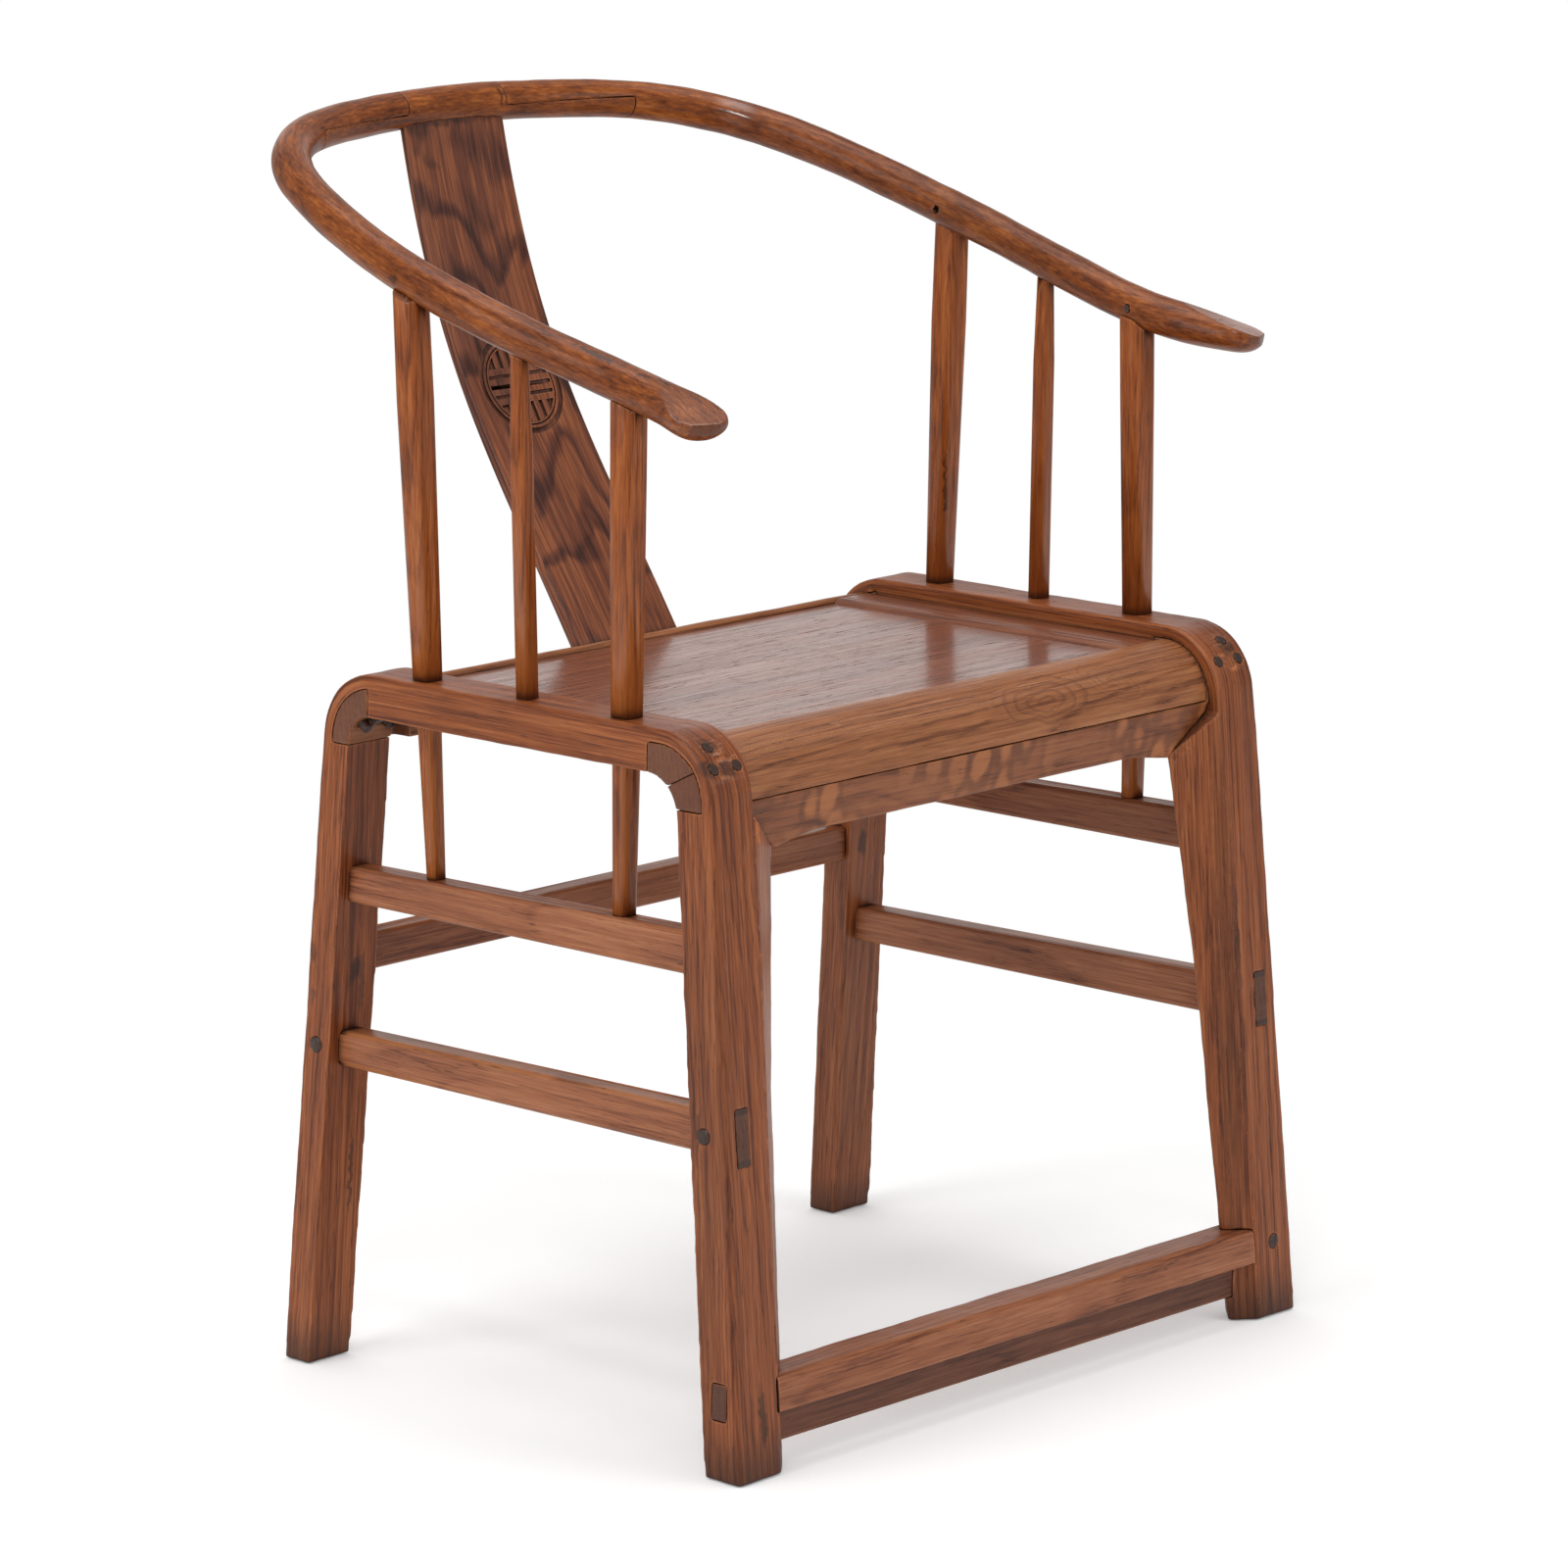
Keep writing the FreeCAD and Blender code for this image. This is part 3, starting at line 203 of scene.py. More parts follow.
@dataclass(frozen=True)
class WoodFinish:
    """Old elm with a satin polish: its colours, patterns, wear, dirt, shade painted into its nooks and marks.
    """

    name: str
    deep: tuple
    middle: tuple
    light: tuple
    worn: tuple
    end: tuple = paint(96, 58, 42)
    # The dark colour of grime, pores and marks, which is also painted into the nooks as shade
    grime_and_shade: tuple = paint(38, 22, 15)
    ring_spacing: float = 0.0055
    ring_offset: float = 0.055
    ring_wander: float = 1.2
    ring_taper: float = 0.02
    wander_along: float = 5.0
    wander_across: float = 22.0
    ring_strength: float = 0.55
    ring_edge: float = 0.86
    shortness: float = 1.0
    thickness: float = 1.0
    fibre_strength: float = 1.0
    pore_strength: float = 0.55
    vein_strength: float = 0.5
    patch_strength: float = 0.25
    blisters: float = 0.0
    wear: float = 0.75
    # How dark the nooks are painted: painted shade and grime together
    shade_and_grime_strength: float = 0.85
    edge_radius: float = 0.0032
    roughness: float = 0.42
    shine: float = 0.28
    coat: float = 0.1
    coat_roughness: float = 0.22
    coat_grain: float = 0.6
    glint: float = 0.25
    bump: float = 0.6
    foot_dirt: bool = False
    marks: tuple = ()
    eyes: tuple = ()
    polished: tuple = ()


@dataclass(frozen=True)
class Figure:
    """A pattern along the grain: its cells for each metre, shift, layers and the edge of what it marks."""

    along: float
    across: float
    shift: float = 0.0
    detail: float = 1.0
    roughness: float = 0.5
    distortion: float = 0.0
    edge: tuple = (0.0, 1.0)


SLOW = Figure(1.6, 4.0, 7.0)
FIBRE = Figure(20, 640, 3.0, 3.0, 0.65)
STREAK = Figure(5.0, 190, 6.0, 3.0, 0.65)
BROAD = Figure(3.0, 26, 5.0, 3.0, 0.6)
PATCH = Figure(5.0, 13, 11.0, 3.0, 0.6, edge=(0.5, 0.75))
PORE = Figure(55, 620, 9.0, 2.0, 0.6, edge=(0.60, 0.68))
VEIN = Figure(7.0, 300, 13.0, 2.0, 0.6, edge=(0.60, 0.70))
RUB = Figure(14, 60, 2.0, 3.0, 0.6, edge=(0.3, 0.6))
CURL = Figure(70.0, 70.0, 2.0)
CROOK = Figure(7.0, 9.0, 8.0, edge=(0.36, 0.56))
SHIFT_SHARES = (1.0, 1.7, 2.3)
RING_SWAY = 0.09
EYE_RINGS = 5.0
EYE_CURL, MARK_CURL = 45.0, 130.0
CURL_REACH = (0.009, 0.009, 0.012)
FOOT_DIRT_HEIGHT = 0.045
NOOK_REACH = 0.011
RELIEF = 0.0006


class WoodShader(Shader):
    """The node tree of one wood finish."""

    def __init__(self, wood: WoodFinish) -> None:
        """Starts the material and its coordinates, along the grain and on the chair.

        Args:
            wood: the finish.
        """
        super().__init__(bpy.data.materials.new(wood.name))
        self.wood = wood
        self.grain = self.add("Attribute", {"attribute_name": GRAIN}).outputs["Vector"]
        self.place = self.add("TexCoord").outputs["Object"]

    def stretched(self, along: float, across: float, shift: float) -> NodeSocket:
        """Scales grain coordinates along and across the grain, and shifts them to another place."""
        shifts = tuple(shift * share for share in SHIFT_SHARES)
        return self.vector("MULTIPLY_ADD", self.grain, (along, across, across), shifts)

    def figure(self, pattern: Figure, shorter: float = 1.0, thinner: float = 1.0) -> Num:
        """Draws a pattern along the grain.

        Args:
            pattern: its scales, place and layers.
            shorter: how many times shorter it is here.
            thinner: how many times thinner it is here.

        Returns:
            The pattern from 0 to 1.
        """
        vector = self.stretched(pattern.along * shorter, pattern.across * thinner, pattern.shift)
        inputs = {"Vector": vector, "Scale": 1.0, "Detail": pattern.detail, "Roughness": pattern.roughness,
                  "Distortion": pattern.distortion}
        return self.number("TexNoise", None, inputs, "Fac")

    def far(self, place: NodeSocket, mark: Mark) -> Num:
        """Measures how far a place is from a mark.

        Args:
            place: coordinates in metres.
            mark: the mark.

        Returns:
            0 at the mark's middle and 1 at its rim.
        """
        location, reach = ([size * MILLIMETRE for size in sizes] for sizes in (mark.place, mark.reach))
        inputs = {"Vector": place, "Location": location, "Rotation": mark.turn, "Scale": reach}
        local = self.add("Mapping", {"vector_type": "TEXTURE"}, inputs).outputs[0]
        return self.number("VectorMath", {"operation": "LENGTH"}, {0: local}, 1)

    def ragged(self, scale: float) -> NodeSocket:
        """Moves places to and fro a little, so that marks get ragged outlines.

        Args:
            scale: moves to and fro in a metre.

        Returns:
            The moved coordinates.
        """
        curl = self.add("TexNoise", None, {"Vector": self.place, "Scale": scale, "Detail": 3.0})
        moves = self.vector("SUBTRACT", curl.outputs["Color"], (0.5, 0.5, 0.5))
        return self.vector("MULTIPLY_ADD", moves, CURL_REACH, self.place)

    def rings(self) -> Num:
        """Draws the growth rings as slanting bands.

        Returns:
            0 at the dark early edge of a ring, rising to 1 at its late edge.
        """
        wood = self.wood
        parts = self.add("SeparateXYZ", None, {0: self.grain}).outputs
        along, across, rise = (Num(self, part) for part in parts)
        wander = self.figure(Figure(wood.wander_along, wood.wander_across, 0.0, 2.0, 0.5, 0.4))
        rise = rise + wood.ring_offset + (self.figure(SLOW) - 0.5) * RING_SWAY
        distance = (across * across + rise * rise).root() + along * wood.ring_taper
        return (distance / wood.ring_spacing + (wander - 0.5) * wood.ring_wander * 2).fraction()

    def ovals(self) -> Num:
        """Draws closed oval rings, as where a branch began under the surface.

        Returns:
            The strength of the dark lines.
        """
        total = None
        ragged = self.ragged(EYE_CURL)
        for eye in self.wood.eyes:
            far = self.far(ragged, eye)
            saw = (far * EYE_RINGS).fraction()
            line = saw.step(0.45, 0.9) * (1 - saw.step(0.9, 1.0)) * (1 - far.step(0.7, 1.05)) * eye.strength
            total = line.most(total)
        return total

    def blistered(self) -> tuple[Num, Num]:
        """Draws the rounded pale blisters of a crooked grain.

        Returns:
            1 inside a blister and 0 outside it, and up to 0.8 on the dark rim round it.
        """
        inputs = {"Vector": self.stretched(40.0, 26.0, 4.0), "Scale": 1.0, "Smoothness": 0.25,
                  "Randomness": 0.55}
        gap = self.number("TexVoronoi", {"feature": "SMOOTH_F1"}, inputs, "Distance")
        gap = gap + (self.figure(CURL) - 0.5) * 0.35
        crook = self.figure(CROOK).step(*CROOK.edge)
        rim = gap.step(0.32, 0.46) * (1 - gap.step(0.50, 0.66))
        return (1 - gap.step(0.26, 0.42)) * crook, rim * crook * 0.8

    def dark_marks(self) -> Num | None:
        """Adds up the dark marks of this finish, painted shade among them, and the dirt of its feet.

        Returns:
            The mark's strength in its middle and 0 away from all, or None without marks.
        """
        total = None
        ragged = self.ragged(MARK_CURL)
        for mark in self.wood.marks:
            spot = (1 - self.far(ragged, mark).step(0.45, 1.0)) * mark.strength
            total = spot.most(total)
        if self.wood.foot_dirt:
            height = self.number("SeparateXYZ", None, {0: self.place}, 2)
            darkening = (1 - height.step(0.0, FOOT_DIRT_HEIGHT)) * 0.75
            total = darkening.most(total)
        return total

    def edges(self) -> Num:
        """Finds the arrises.

        Returns:
            1 along an edge and 0 on a face.
        """
        rounded = self.add("Bevel", {"samples": 4}, {"Radius": self.wood.edge_radius}).outputs[0]
        true = self.add("NewGeometry").outputs["True Normal"]
        match = self.number("VectorMath", {"operation": "DOT_PRODUCT"}, {0: rounded, 1: true}, 1)
        return (1 - match).step(0.015, 0.22)

    def nooks(self) -> Num:
        """Finds the inner corners and joints, where shade falls, for the painted shade: 1 deep in a corner and
        0 on an open face.
        """
        settings = {"samples": 4, "only_local": False}
        return (1 - self.number("AmbientOcclusion", settings, {"Distance": NOOK_REACH}, "AO")).step(0.3, 0.85)

    def build(self) -> Material:
        """Lays the finish from the bare wood up to its wear, dirt, painted shade and polish.

        Returns:
            The material.
        """
        wood = self.wood
        saw = self.rings()
        ring = saw.step(0.0, 1.16 - wood.ring_edge) * (1 - saw.step(wood.ring_edge, 1.0))
        fibre = self.figure(FIBRE, wood.shortness, 1 / wood.thickness)
        streak = self.figure(STREAK, wood.shortness, 1 / wood.thickness)
        broad = self.figure(BROAD, wood.shortness)
        patch = self.figure(PATCH, wood.shortness)
        rub = self.figure(RUB)
        pore = self.figure(PORE).step(*PORE.edge) * (1 - ring * 0.6) * wood.pore_strength
        vein = self.figure(VEIN).step(*VEIN.edge) * wood.vein_strength
        end = self.number("Attribute", {"attribute_name": END_GRAIN}, None, "Fac")
        edge, nook, dark_mark = self.edges(), self.nooks(), self.dark_marks()
        worn = edge * rub.step(*RUB.edge) * (1 - end) * wood.wear
        # Painted shade: the nooks that ambient occlusion finds are darkened, broken up by the rub pattern like
        # grime
        darkening = nook * (0.55 + rub * 0.9) * wood.shade_and_grime_strength
        # Each pattern swings about its own middle, by the weight that follows it
        tone = (ring - 0.6) * wood.ring_strength + (broad - 0.5) * 0.7 + 0.5
        tone = tone + ((fibre - 0.5) * 1.3 + (streak - 0.5) * 0.9) * wood.fibre_strength
        layers = [(tone.step(0.5, 1.0), wood.light), (patch.step(*PATCH.edge) * wood.patch_strength, wood.deep),
                  (vein, wood.deep)]
        if wood.blisters:
            pale, dark = self.blistered()
            layers += [(pale * wood.blisters, wood.worn), (dark * wood.blisters, wood.deep)]
        if wood.eyes:
            layers.append((self.ovals(), wood.deep))
        # The nooks take the dark grime colour as painted shade and grime; pores and marks take it too
        layers += [(end * 0.8, wood.end), (worn, wood.worn), (darkening.step(0.05, 0.85), wood.grime_and_shade),
                   (pore, wood.grime_and_shade)]
        # The dark marks hold real stains and cracks, and also painted shade
        if dark_mark:
            layers.append((dark_mark * (0.35 + rub), wood.grime_and_shade))
        colour = self.mixed(tone.step(0.1, 0.6), wood.deep, wood.middle)
        for share, tint in layers:
            colour = self.mixed(share, colour, tint)
        height = fibre * 0.35 - pore * 1.1 + ring * 0.25 + rub * 0.4
        rough = wood.roughness + (fibre - 0.5) * 0.18 + pore * 0.2 + (patch - 0.5) * 0.16
        rough = rough + nook * 0.25 - worn * 0.06
        coat = (1 + (streak - 0.5) * wood.coat_grain * 2 - pore * wood.coat_grain * 1.5) * wood.coat
        coat = coat + edge * wood.glint
        for mark in wood.polished:
            coat = coat + (1 - self.far(self.place, mark).step(0.3, 1.0)) * mark.strength
        bump = self.add("Bump", None, {"Strength": wood.bump, "Distance": RELIEF, "Height": height})
        inputs = {"Base Color": colour, "Roughness": rough, "Normal": bump.outputs[0], "Coat Weight": coat,
                  "Coat Roughness": wood.coat_roughness, "IOR": 1.5, "Specular IOR Level": wood.shine}
        surface = self.add("BsdfPrincipled", None, inputs)
        self.add("OutputMaterial", None, {"Surface": surface.outputs[0]})
        return self.owner


FRAME_MARKS = (
    Mark((-273.5, -294.5, 40), (5, 12, 36), 0.75),
    Mark((-292, 126.8, 304.1), (12, 4, 10), 0.55),
    Mark((-292.5, 126.6, 274.1), (12, 3, 9), 0.5),
    Mark((-270.9, 105.4, 291), (7, 12, 13), 0.85, (0.0, 0.3, 0.0)),
    Mark((-264, 107, 280), (4, 12, 30), 0.6),
    Mark((-267, 117.5, 140), (2, 12, 45), 0.75),
    Mark((-293.5, -256, 238), (12, 2.2, 30), 0.8),
    Mark((-270, -244, 502), (10, 12, 9), 0.7),
    Mark((-282, -254, 489), (9, 11, 9), 0.7),
    Mark((-264, -256, 487.5), (9, 11, 9), 0.7),
    Mark((270, -248, 497), (10, 12, 10), 0.7),
    Mark((264.7, 104.8, 299.1), (6, 12, 14), 0.8),
    Mark((254, -279, 300), (2, 12, 60), 0.6),
    # Painted shade: a broad, faint darkening of the left front leg's outer face
    Mark((-305, -260, 260), (30, 50, 300), 0.26),
    Mark((-305, -242, 470), (18, 30, 35), 0.4),
    Mark((275, 135, 200), (60, 60, 300), 0.2),
    # Painted shade: a darkening of the right front leg's inner face, under the seat
    Mark((246, -260, 240), (12, 70, 300), 0.4),
)
ARM_MARKS = (
    Mark((-290, 38.4, 794.7), (10, 6, 5), 0.8),
    Mark((-182, 240, 878), (22, 1.2, 6), 0.9, (0.0, 0.0, -0.40)),
    Mark((-273.5, -140, 759), (3.2, 30, 2.8), 0.95, (0.254, 0.0, 0.0)),
    Mark((-272, -196, 748), (3.2, 28, 2.8), 0.95, (0.200, 0.0, 0.1)),
    Mark((274, 0, 780), (50, 200, 70), 0.22),
    Mark((45.3, 270, 878.7), (1, 14, 12), 0.9),
    Mark((263.5, 29.8, 794.6), (8, 4.2, 4.2), 0.8),
    Mark((248, -96, 758), (20, 5, 5), 0.5),
)
POST_MARKS = (
    Mark((264.6, 21.1, 590), (1.2, 12, 30), 0.75),
    Mark((264.8, 20.7, 570), (2.8, 12, 5), 0.85),
)
FRAME_WOOD = WoodFinish(
    "frame_wood", paint(88, 41, 19), paint(138, 73, 35), paint(166, 98, 54), paint(200, 118, 62),
    ring_spacing=0.0052, ring_offset=0.08, ring_wander=0.9, wander_across=30.0, ring_strength=0.13,
    shortness=0.5, fibre_strength=1.3, vein_strength=0.4, foot_dirt=True, marks=FRAME_MARKS)
RAIL_EYES = (
    Mark((74, -250, 485), (56, 60, 19), 0.5),
    Mark((150, -250, 488), (40, 60, 14), 0.3, (0.0, 0.35, 0.0)),
)
RAIL_WOOD = WoodFinish(
    "seat_rail_wood", paint(98, 53, 29), paint(147, 90, 54), paint(168, 112, 72), paint(186, 118, 70),
    ring_spacing=0.0042, ring_offset=0.03, ring_wander=1.2, wander_across=14.0, ring_strength=0.22,
    vein_strength=0.3, eyes=RAIL_EYES)
APRON_WOOD = replace(
    RAIL_WOOD, deep=paint(86, 44, 23), middle=paint(132, 74, 40), light=paint(150, 92, 54),
    worn=paint(178, 110, 62), blisters=0.6, wear=0.4, eyes=())
INNER_RAIL_WOOD = replace(
    RAIL_WOOD, deep=paint(76, 40, 25), middle=paint(120, 67, 43), light=paint(148, 92, 62), coat=0.4,
    coat_roughness=0.2, eyes=())
ARM_POLISH = (
    Mark((220, 196, 861), (18, 20, 20), 1.0),
    Mark((-290, -255, 730), (35, 50, 30), 0.3),
    Mark((290, -255, 730), (35, 50, 30), 0.3),
)
ARM_WOOD = WoodFinish(
    "arm_wood", paint(76, 34, 14), paint(124, 63, 24), paint(162, 92, 38), paint(166, 94, 46),
    ring_spacing=0.006, ring_offset=0.02, ring_wander=1.4, shortness=5.0, thickness=1.3, patch_strength=0.4,
    shine=0.18, roughness=0.36, coat=0.12, coat_roughness=0.14, wear=0.15, shade_and_grime_strength=0.45,
    ring_strength=0.15, pore_strength=0.4, vein_strength=0.35, marks=ARM_MARKS, polished=ARM_POLISH)
POST_WOOD = WoodFinish(
    "post_wood", paint(92, 42, 14), paint(145, 74, 26), paint(174, 100, 44), paint(188, 110, 54),
    ring_spacing=0.005, ring_offset=0.03, ring_wander=0.9, roughness=0.38, coat=0.12, wear=0.5,
    ring_strength=0.2, shortness=1.6, patch_strength=0.08, shade_and_grime_strength=0.6, marks=POST_MARKS)
STRETCHER_WOOD = WoodFinish(
    "stretcher_wood", paint(98, 50, 30), paint(148, 88, 56), paint(172, 112, 76), paint(208, 134, 84),
    paint(66, 40, 30), ring_spacing=0.006, ring_offset=0.05, ring_wander=1.0, ring_strength=0.18)
# Painted shade: a darker copy of the stretcher wood for the strip set back under the footrest
STRIP_WOOD = replace(
    STRETCHER_WOOD, deep=paint(66, 36, 24), middle=paint(108, 62, 42), light=paint(132, 84, 58))
PANEL_WOOD = WoodFinish(
    "panel_wood", paint(72, 35, 22), paint(122, 66, 42), paint(152, 90, 60), paint(160, 110, 80),
    ring_spacing=0.0055, ring_offset=0.12, ring_wander=1.4, roughness=0.36, coat=0.56, coat_roughness=0.17,
    wear=0.2, ring_strength=0.35, pore_strength=0.95, coat_grain=1.3)
SPLAT_MARKS = (
    Mark((0, 264, 864), (70, 20, 6), 0.9),
    Mark((-30, 264, 835), (12, 20, 5), 0.5, (0.0, 0.5, 0.0)),
)
SPLAT_WOOD = WoodFinish(
    "splat_wood", paint(60, 30, 21), paint(104, 56, 37), paint(150, 86, 50), paint(184, 120, 78),
    ring_spacing=0.0042, ring_offset=0.006, ring_wander=1.5, ring_taper=0.045, wander_along=10.0,
    wander_across=20.0, ring_strength=0.42, ring_edge=0.8, patch_strength=0.08, vein_strength=0.3, wear=0.4,
    shade_and_grime_strength=1.4, roughness=0.4, coat=0.12, coat_roughness=0.14, edge_radius=0.0015, marks=SPLAT_MARKS)
PEG_WOOD = WoodFinish(
    "peg_wood", paint(30, 18, 14), paint(54, 33, 25), paint(78, 50, 37), paint(96, 62, 44), paint(58, 38, 29),
    ring_spacing=0.003, wear=0.2)
WEDGE_WOOD = replace(
    PEG_WOOD, middle=paint(70, 42, 31), light=paint(84, 54, 40), end=paint(66, 40, 30))


@dataclass(frozen=True)
class GrainLine:
    """The line that the grain of one timber follows."""

    points: tuple

    def nearest(self, places: np.ndarray) -> tuple[np.ndarray, np.ndarray, np.ndarray]:
        """Finds the run of the line that each place is nearest to.

        Args:
            places: one place in each row, in metres.

        Returns:
            The runs' numbers, the directions there and the distances along the whole line.
        """
        points = np.array(self.points, float)
        runs = points[1:] - points[:-1]
        lengths = np.linalg.norm(runs, axis=1)
        directions = runs / lengths[:, None]
        starts = np.concatenate([[0.0], np.cumsum(lengths)[:-1]])
        best = np.zeros(len(places), int)
        least = np.full(len(places), np.inf)
        along = np.zeros(len(places))
        for number, (start, direction, length) in enumerate(zip(points[:-1], directions, lengths)):
            reach = (places - start) @ direction
            low = -np.inf if number == 0 else 0.0
            high = np.inf if number == len(runs) - 1 else length
            held = np.clip(reach, low, high)
            gap = np.linalg.norm(places - start - held[:, None] * direction, axis=1)
            closer = gap < least
            best[closer], least[closer], along[closer] = number, gap[closer], (starts[number] + held)[closer]
        return best, directions[best], along

    def coordinates(self, places: np.ndarray, shift: float) -> np.ndarray:
        """Lays places along the line.

        Args:
            places: one place in each row, in metres.
            shift: moves the pattern, so that no two timbers are alike.

        Returns:
            Distance along the line, to its side and above it, one row for each place.
        """
        best, direction, along = self.nearest(places)
        away = places - np.array(self.points, float)[best]
        side = np.cross(direction, self.upright())
        side /= np.linalg.norm(side, axis=1)[:, None]
        rise = np.cross(side, direction)
        across = np.einsum("vk,vk->v", away, side)
        above = np.einsum("vk,vk->v", away, rise)
        return np.stack([along + shift, across + shift * 0.13, above], axis=1)

    def upright(self) -> np.ndarray:
        """Chooses what counts as above the line.

        Returns:
            A direction that none of the line's runs is parallel to.
        """
        points = np.array(self.points)
        axis = np.zeros(3)
        if len(points) == 2:
            run = points[1] - points[0]
            axis[2 if abs(run[2]) < 0.7 * np.linalg.norm(run) else 1] = 1.0
        else:
            axis[int(np.argmin(np.ptp(points, axis=0)))] = 1.0
        return axis


def softened(points: list, rounds: int) -> list:
    """Rounds the corners of a line of points.

    Args:
        points: the line's points.
        rounds: how many times each corner is cut.

    Returns:
        The rounder line.
    """
    for _ in range(rounds):
        cut = [points[0]]
        for start, end in zip(points, points[1:]):
            first, last = Vector(start), Vector(end)
            cut += [tuple(first.lerp(last, 0.25)), tuple(first.lerp(last, 0.75))]
        points = cut + [points[-1]]
    return points


@dataclass(frozen=True)
class Wear:
    """How far use has rounded and dented a timber."""

    cell: float = 0.0018
    rounds: int = 7
    dents: float = 0.0003
    dent_size: float = 0.03
    soft_below: float = 0.0
    soft_rounds: int = 0
    held_behind: float | None = None


SEAT_WEAR = Wear(0.0018, 4, 0.00035, 0.04)
FOOTREST_WEAR = Wear(0.0016, 4, 0.0005, 0.04)
ARRIS = 0.0012
SHARP = 0.0
SMOOTH_ANGLE = math.radians(28)
FLAT_ANGLE = math.radians(1.0)
ARRIS_ANGLE = math.radians(40)
JOIN_DISTANCE = 0.02 * MILLIMETRE
GRAIN_SHIFT = 0.73
END_FROM, END_SPAN = 0.6, 0.3


def rows_of(items: bpy_prop_collection, name: str) -> np.ndarray:
    """Reads a vector property of many points or faces.

    Args:
        items: the points or faces.
        name: the property's name.

    Returns:
        One vector in each row.
    """
    values = np.zeros(len(items) * 3)
    items.foreach_get(name, values)
    return values.reshape(-1, 3)


def settled() -> Object:
    """Applies the place, turn and size of the object that was just added, and gives it."""
    bpy.ops.object.transform_apply(location=True, rotation=True, scale=True)
    return bpy.context.object


class Bench:
    """What each piece goes through: copied from its solid, given its grain, its finish and its body."""

    def __init__(self) -> None:
        """Starts with no material made."""
        self.made: dict[WoodFinish, Material] = {}
        self.count = 0

    def clear_selection(self) -> None:
        """Deselects everything."""
        if bpy.context.object and bpy.context.object.mode != "OBJECT":
            bpy.ops.object.mode_set(mode="OBJECT")
        bpy.ops.object.select_all(action="DESELECT")

    def pick(self, piece: Object) -> None:
        """Selects one object and makes it the active one.

        Args:
            piece: the object.
        """
        self.clear_selection()
        piece.select_set(True)
        bpy.context.view_layer.objects.active = piece

    def edit(self, piece: Object, operator: Callable, *steps: dict) -> None:
        """Runs an operator on the whole mesh of a piece, once for each set of settings.

        Args:
            piece: the mesh object.
            operator: the operator of edit mode.
            steps: its settings, one set for each run.
        """
        self.pick(piece)
        bpy.ops.object.mode_set(mode="EDIT")
        for settings in steps:
            bpy.ops.mesh.select_all(action="SELECT")
            operator(**settings)
        bpy.ops.object.mode_set(mode="OBJECT")

    def copied(self, node: str) -> Object:
        """Copies the solid of a node and joins its loose triangles.

        Args:
            node: the node's name.

        Returns:
            The copy.
        """
        source = bpy.data.objects[node]
        piece = bpy.data.objects.new(node + "_timber", source.data.copy())
        bpy.context.scene.collection.objects.link(piece)
        self.edit(piece, bpy.ops.mesh.remove_doubles, {"threshold": JOIN_DISTANCE})
        bpy.ops.object.shade_smooth_by_angle(angle=SMOOTH_ANGLE)
        return piece

    def apply(self, piece: Object, kind: str, points: list[int] | None = None, **settings: object) -> None:
        """Adds a modifier to a piece and applies it.

        Args:
            piece: the mesh object.
            kind: the modifier's type.
            points: the numbers of the only points that it moves, or None for all.
            settings: its settings.
        """
        self.pick(piece)
        modifier = piece.modifiers.new("step", kind)
        if points is not None:
            group = piece.vertex_groups.new(name="chosen")
            group.add(points, 1.0, "REPLACE")
            modifier.vertex_group = group.name
        for name, value in settings.items():
            setattr(modifier, name, value)
        bpy.ops.object.modifier_apply(modifier=modifier.name)
        piece.vertex_groups.clear()

    def round_off(self, piece: Object, width: float) -> None:
        """Rounds the arrises of a piece.

        Args:
            piece: the mesh object.
            width: width of the rounding.
        """
        self.edit(piece, bpy.ops.mesh.dissolve_limited, {"angle_limit": FLAT_ANGLE})
        self.apply(piece, "BEVEL", width=width, segments=3, limit_method="ANGLE", angle_limit=ARRIS_ANGLE)
        bpy.ops.object.shade_smooth_by_angle(angle=SMOOTH_ANGLE)

    def wear_down(self, piece: Object, solid: Object, wear: Wear) -> None:
        """Wears a piece by hand and foot.

        What lies behind a place can be drawn back onto the solid, which keeps the joints there tight.

        Args:
            piece: the mesh object.
            solid: the node's own mesh object.
            wear: how far it is worn.
        """
        piece.data.remesh_voxel_size = wear.cell
        bpy.ops.object.voxel_remesh()
        self.apply(piece, "SMOOTH", factor=0.5, iterations=wear.rounds)
        if wear.soft_rounds:
            low = [point.index for point in piece.data.vertices if point.co.z < wear.soft_below]
            self.apply(piece, "SMOOTH", low, factor=0.5, iterations=wear.soft_rounds)
        if wear.held_behind is not None:
            held = [point.index for point in piece.data.vertices if point.co.y > wear.held_behind]
            self.apply(piece, "SHRINKWRAP", held, target=solid, wrap_method="NEAREST_SURFACEPOINT")
        self.dent(piece, wear)
        bpy.ops.object.shade_smooth()

    def dent(self, piece: Object, wear: Wear) -> None:
        """Moves the surface in and out a little, as on old hand-planed wood.

        Args:
            piece: the mesh object.
            wear: how far it is worn.
        """
        moves = []
        for vertex in piece.data.vertices:
            amount = noise.noise(vertex.co / wear.dent_size) + 0.5 * noise.noise(vertex.co * 3 / wear.dent_size)
            moves.append(vertex.normal * (amount * wear.dents - wear.dents * 0.4))
        for vertex, move in zip(piece.data.vertices, moves):
            vertex.co += move
            vertex.co.z = max(vertex.co.z, 0.0)

    def mark_ends(self, mesh: Mesh, line: GrainLine) -> None:
        """Marks the faces that show the wood's end grain.

        Args:
            mesh: the piece's mesh.
            line: the line that its grain follows.
        """
        directions = line.nearest(rows_of(mesh.polygons, "center"))[1]
        ends = np.abs(np.einsum("vk,vk->v", rows_of(mesh.polygons, "normal"), directions))
        layer = mesh.attributes.new(END_GRAIN, "FLOAT", "FACE")
        layer.data.foreach_set("value", np.clip((ends - END_FROM) / END_SPAN, 0, 1).astype(np.float32))

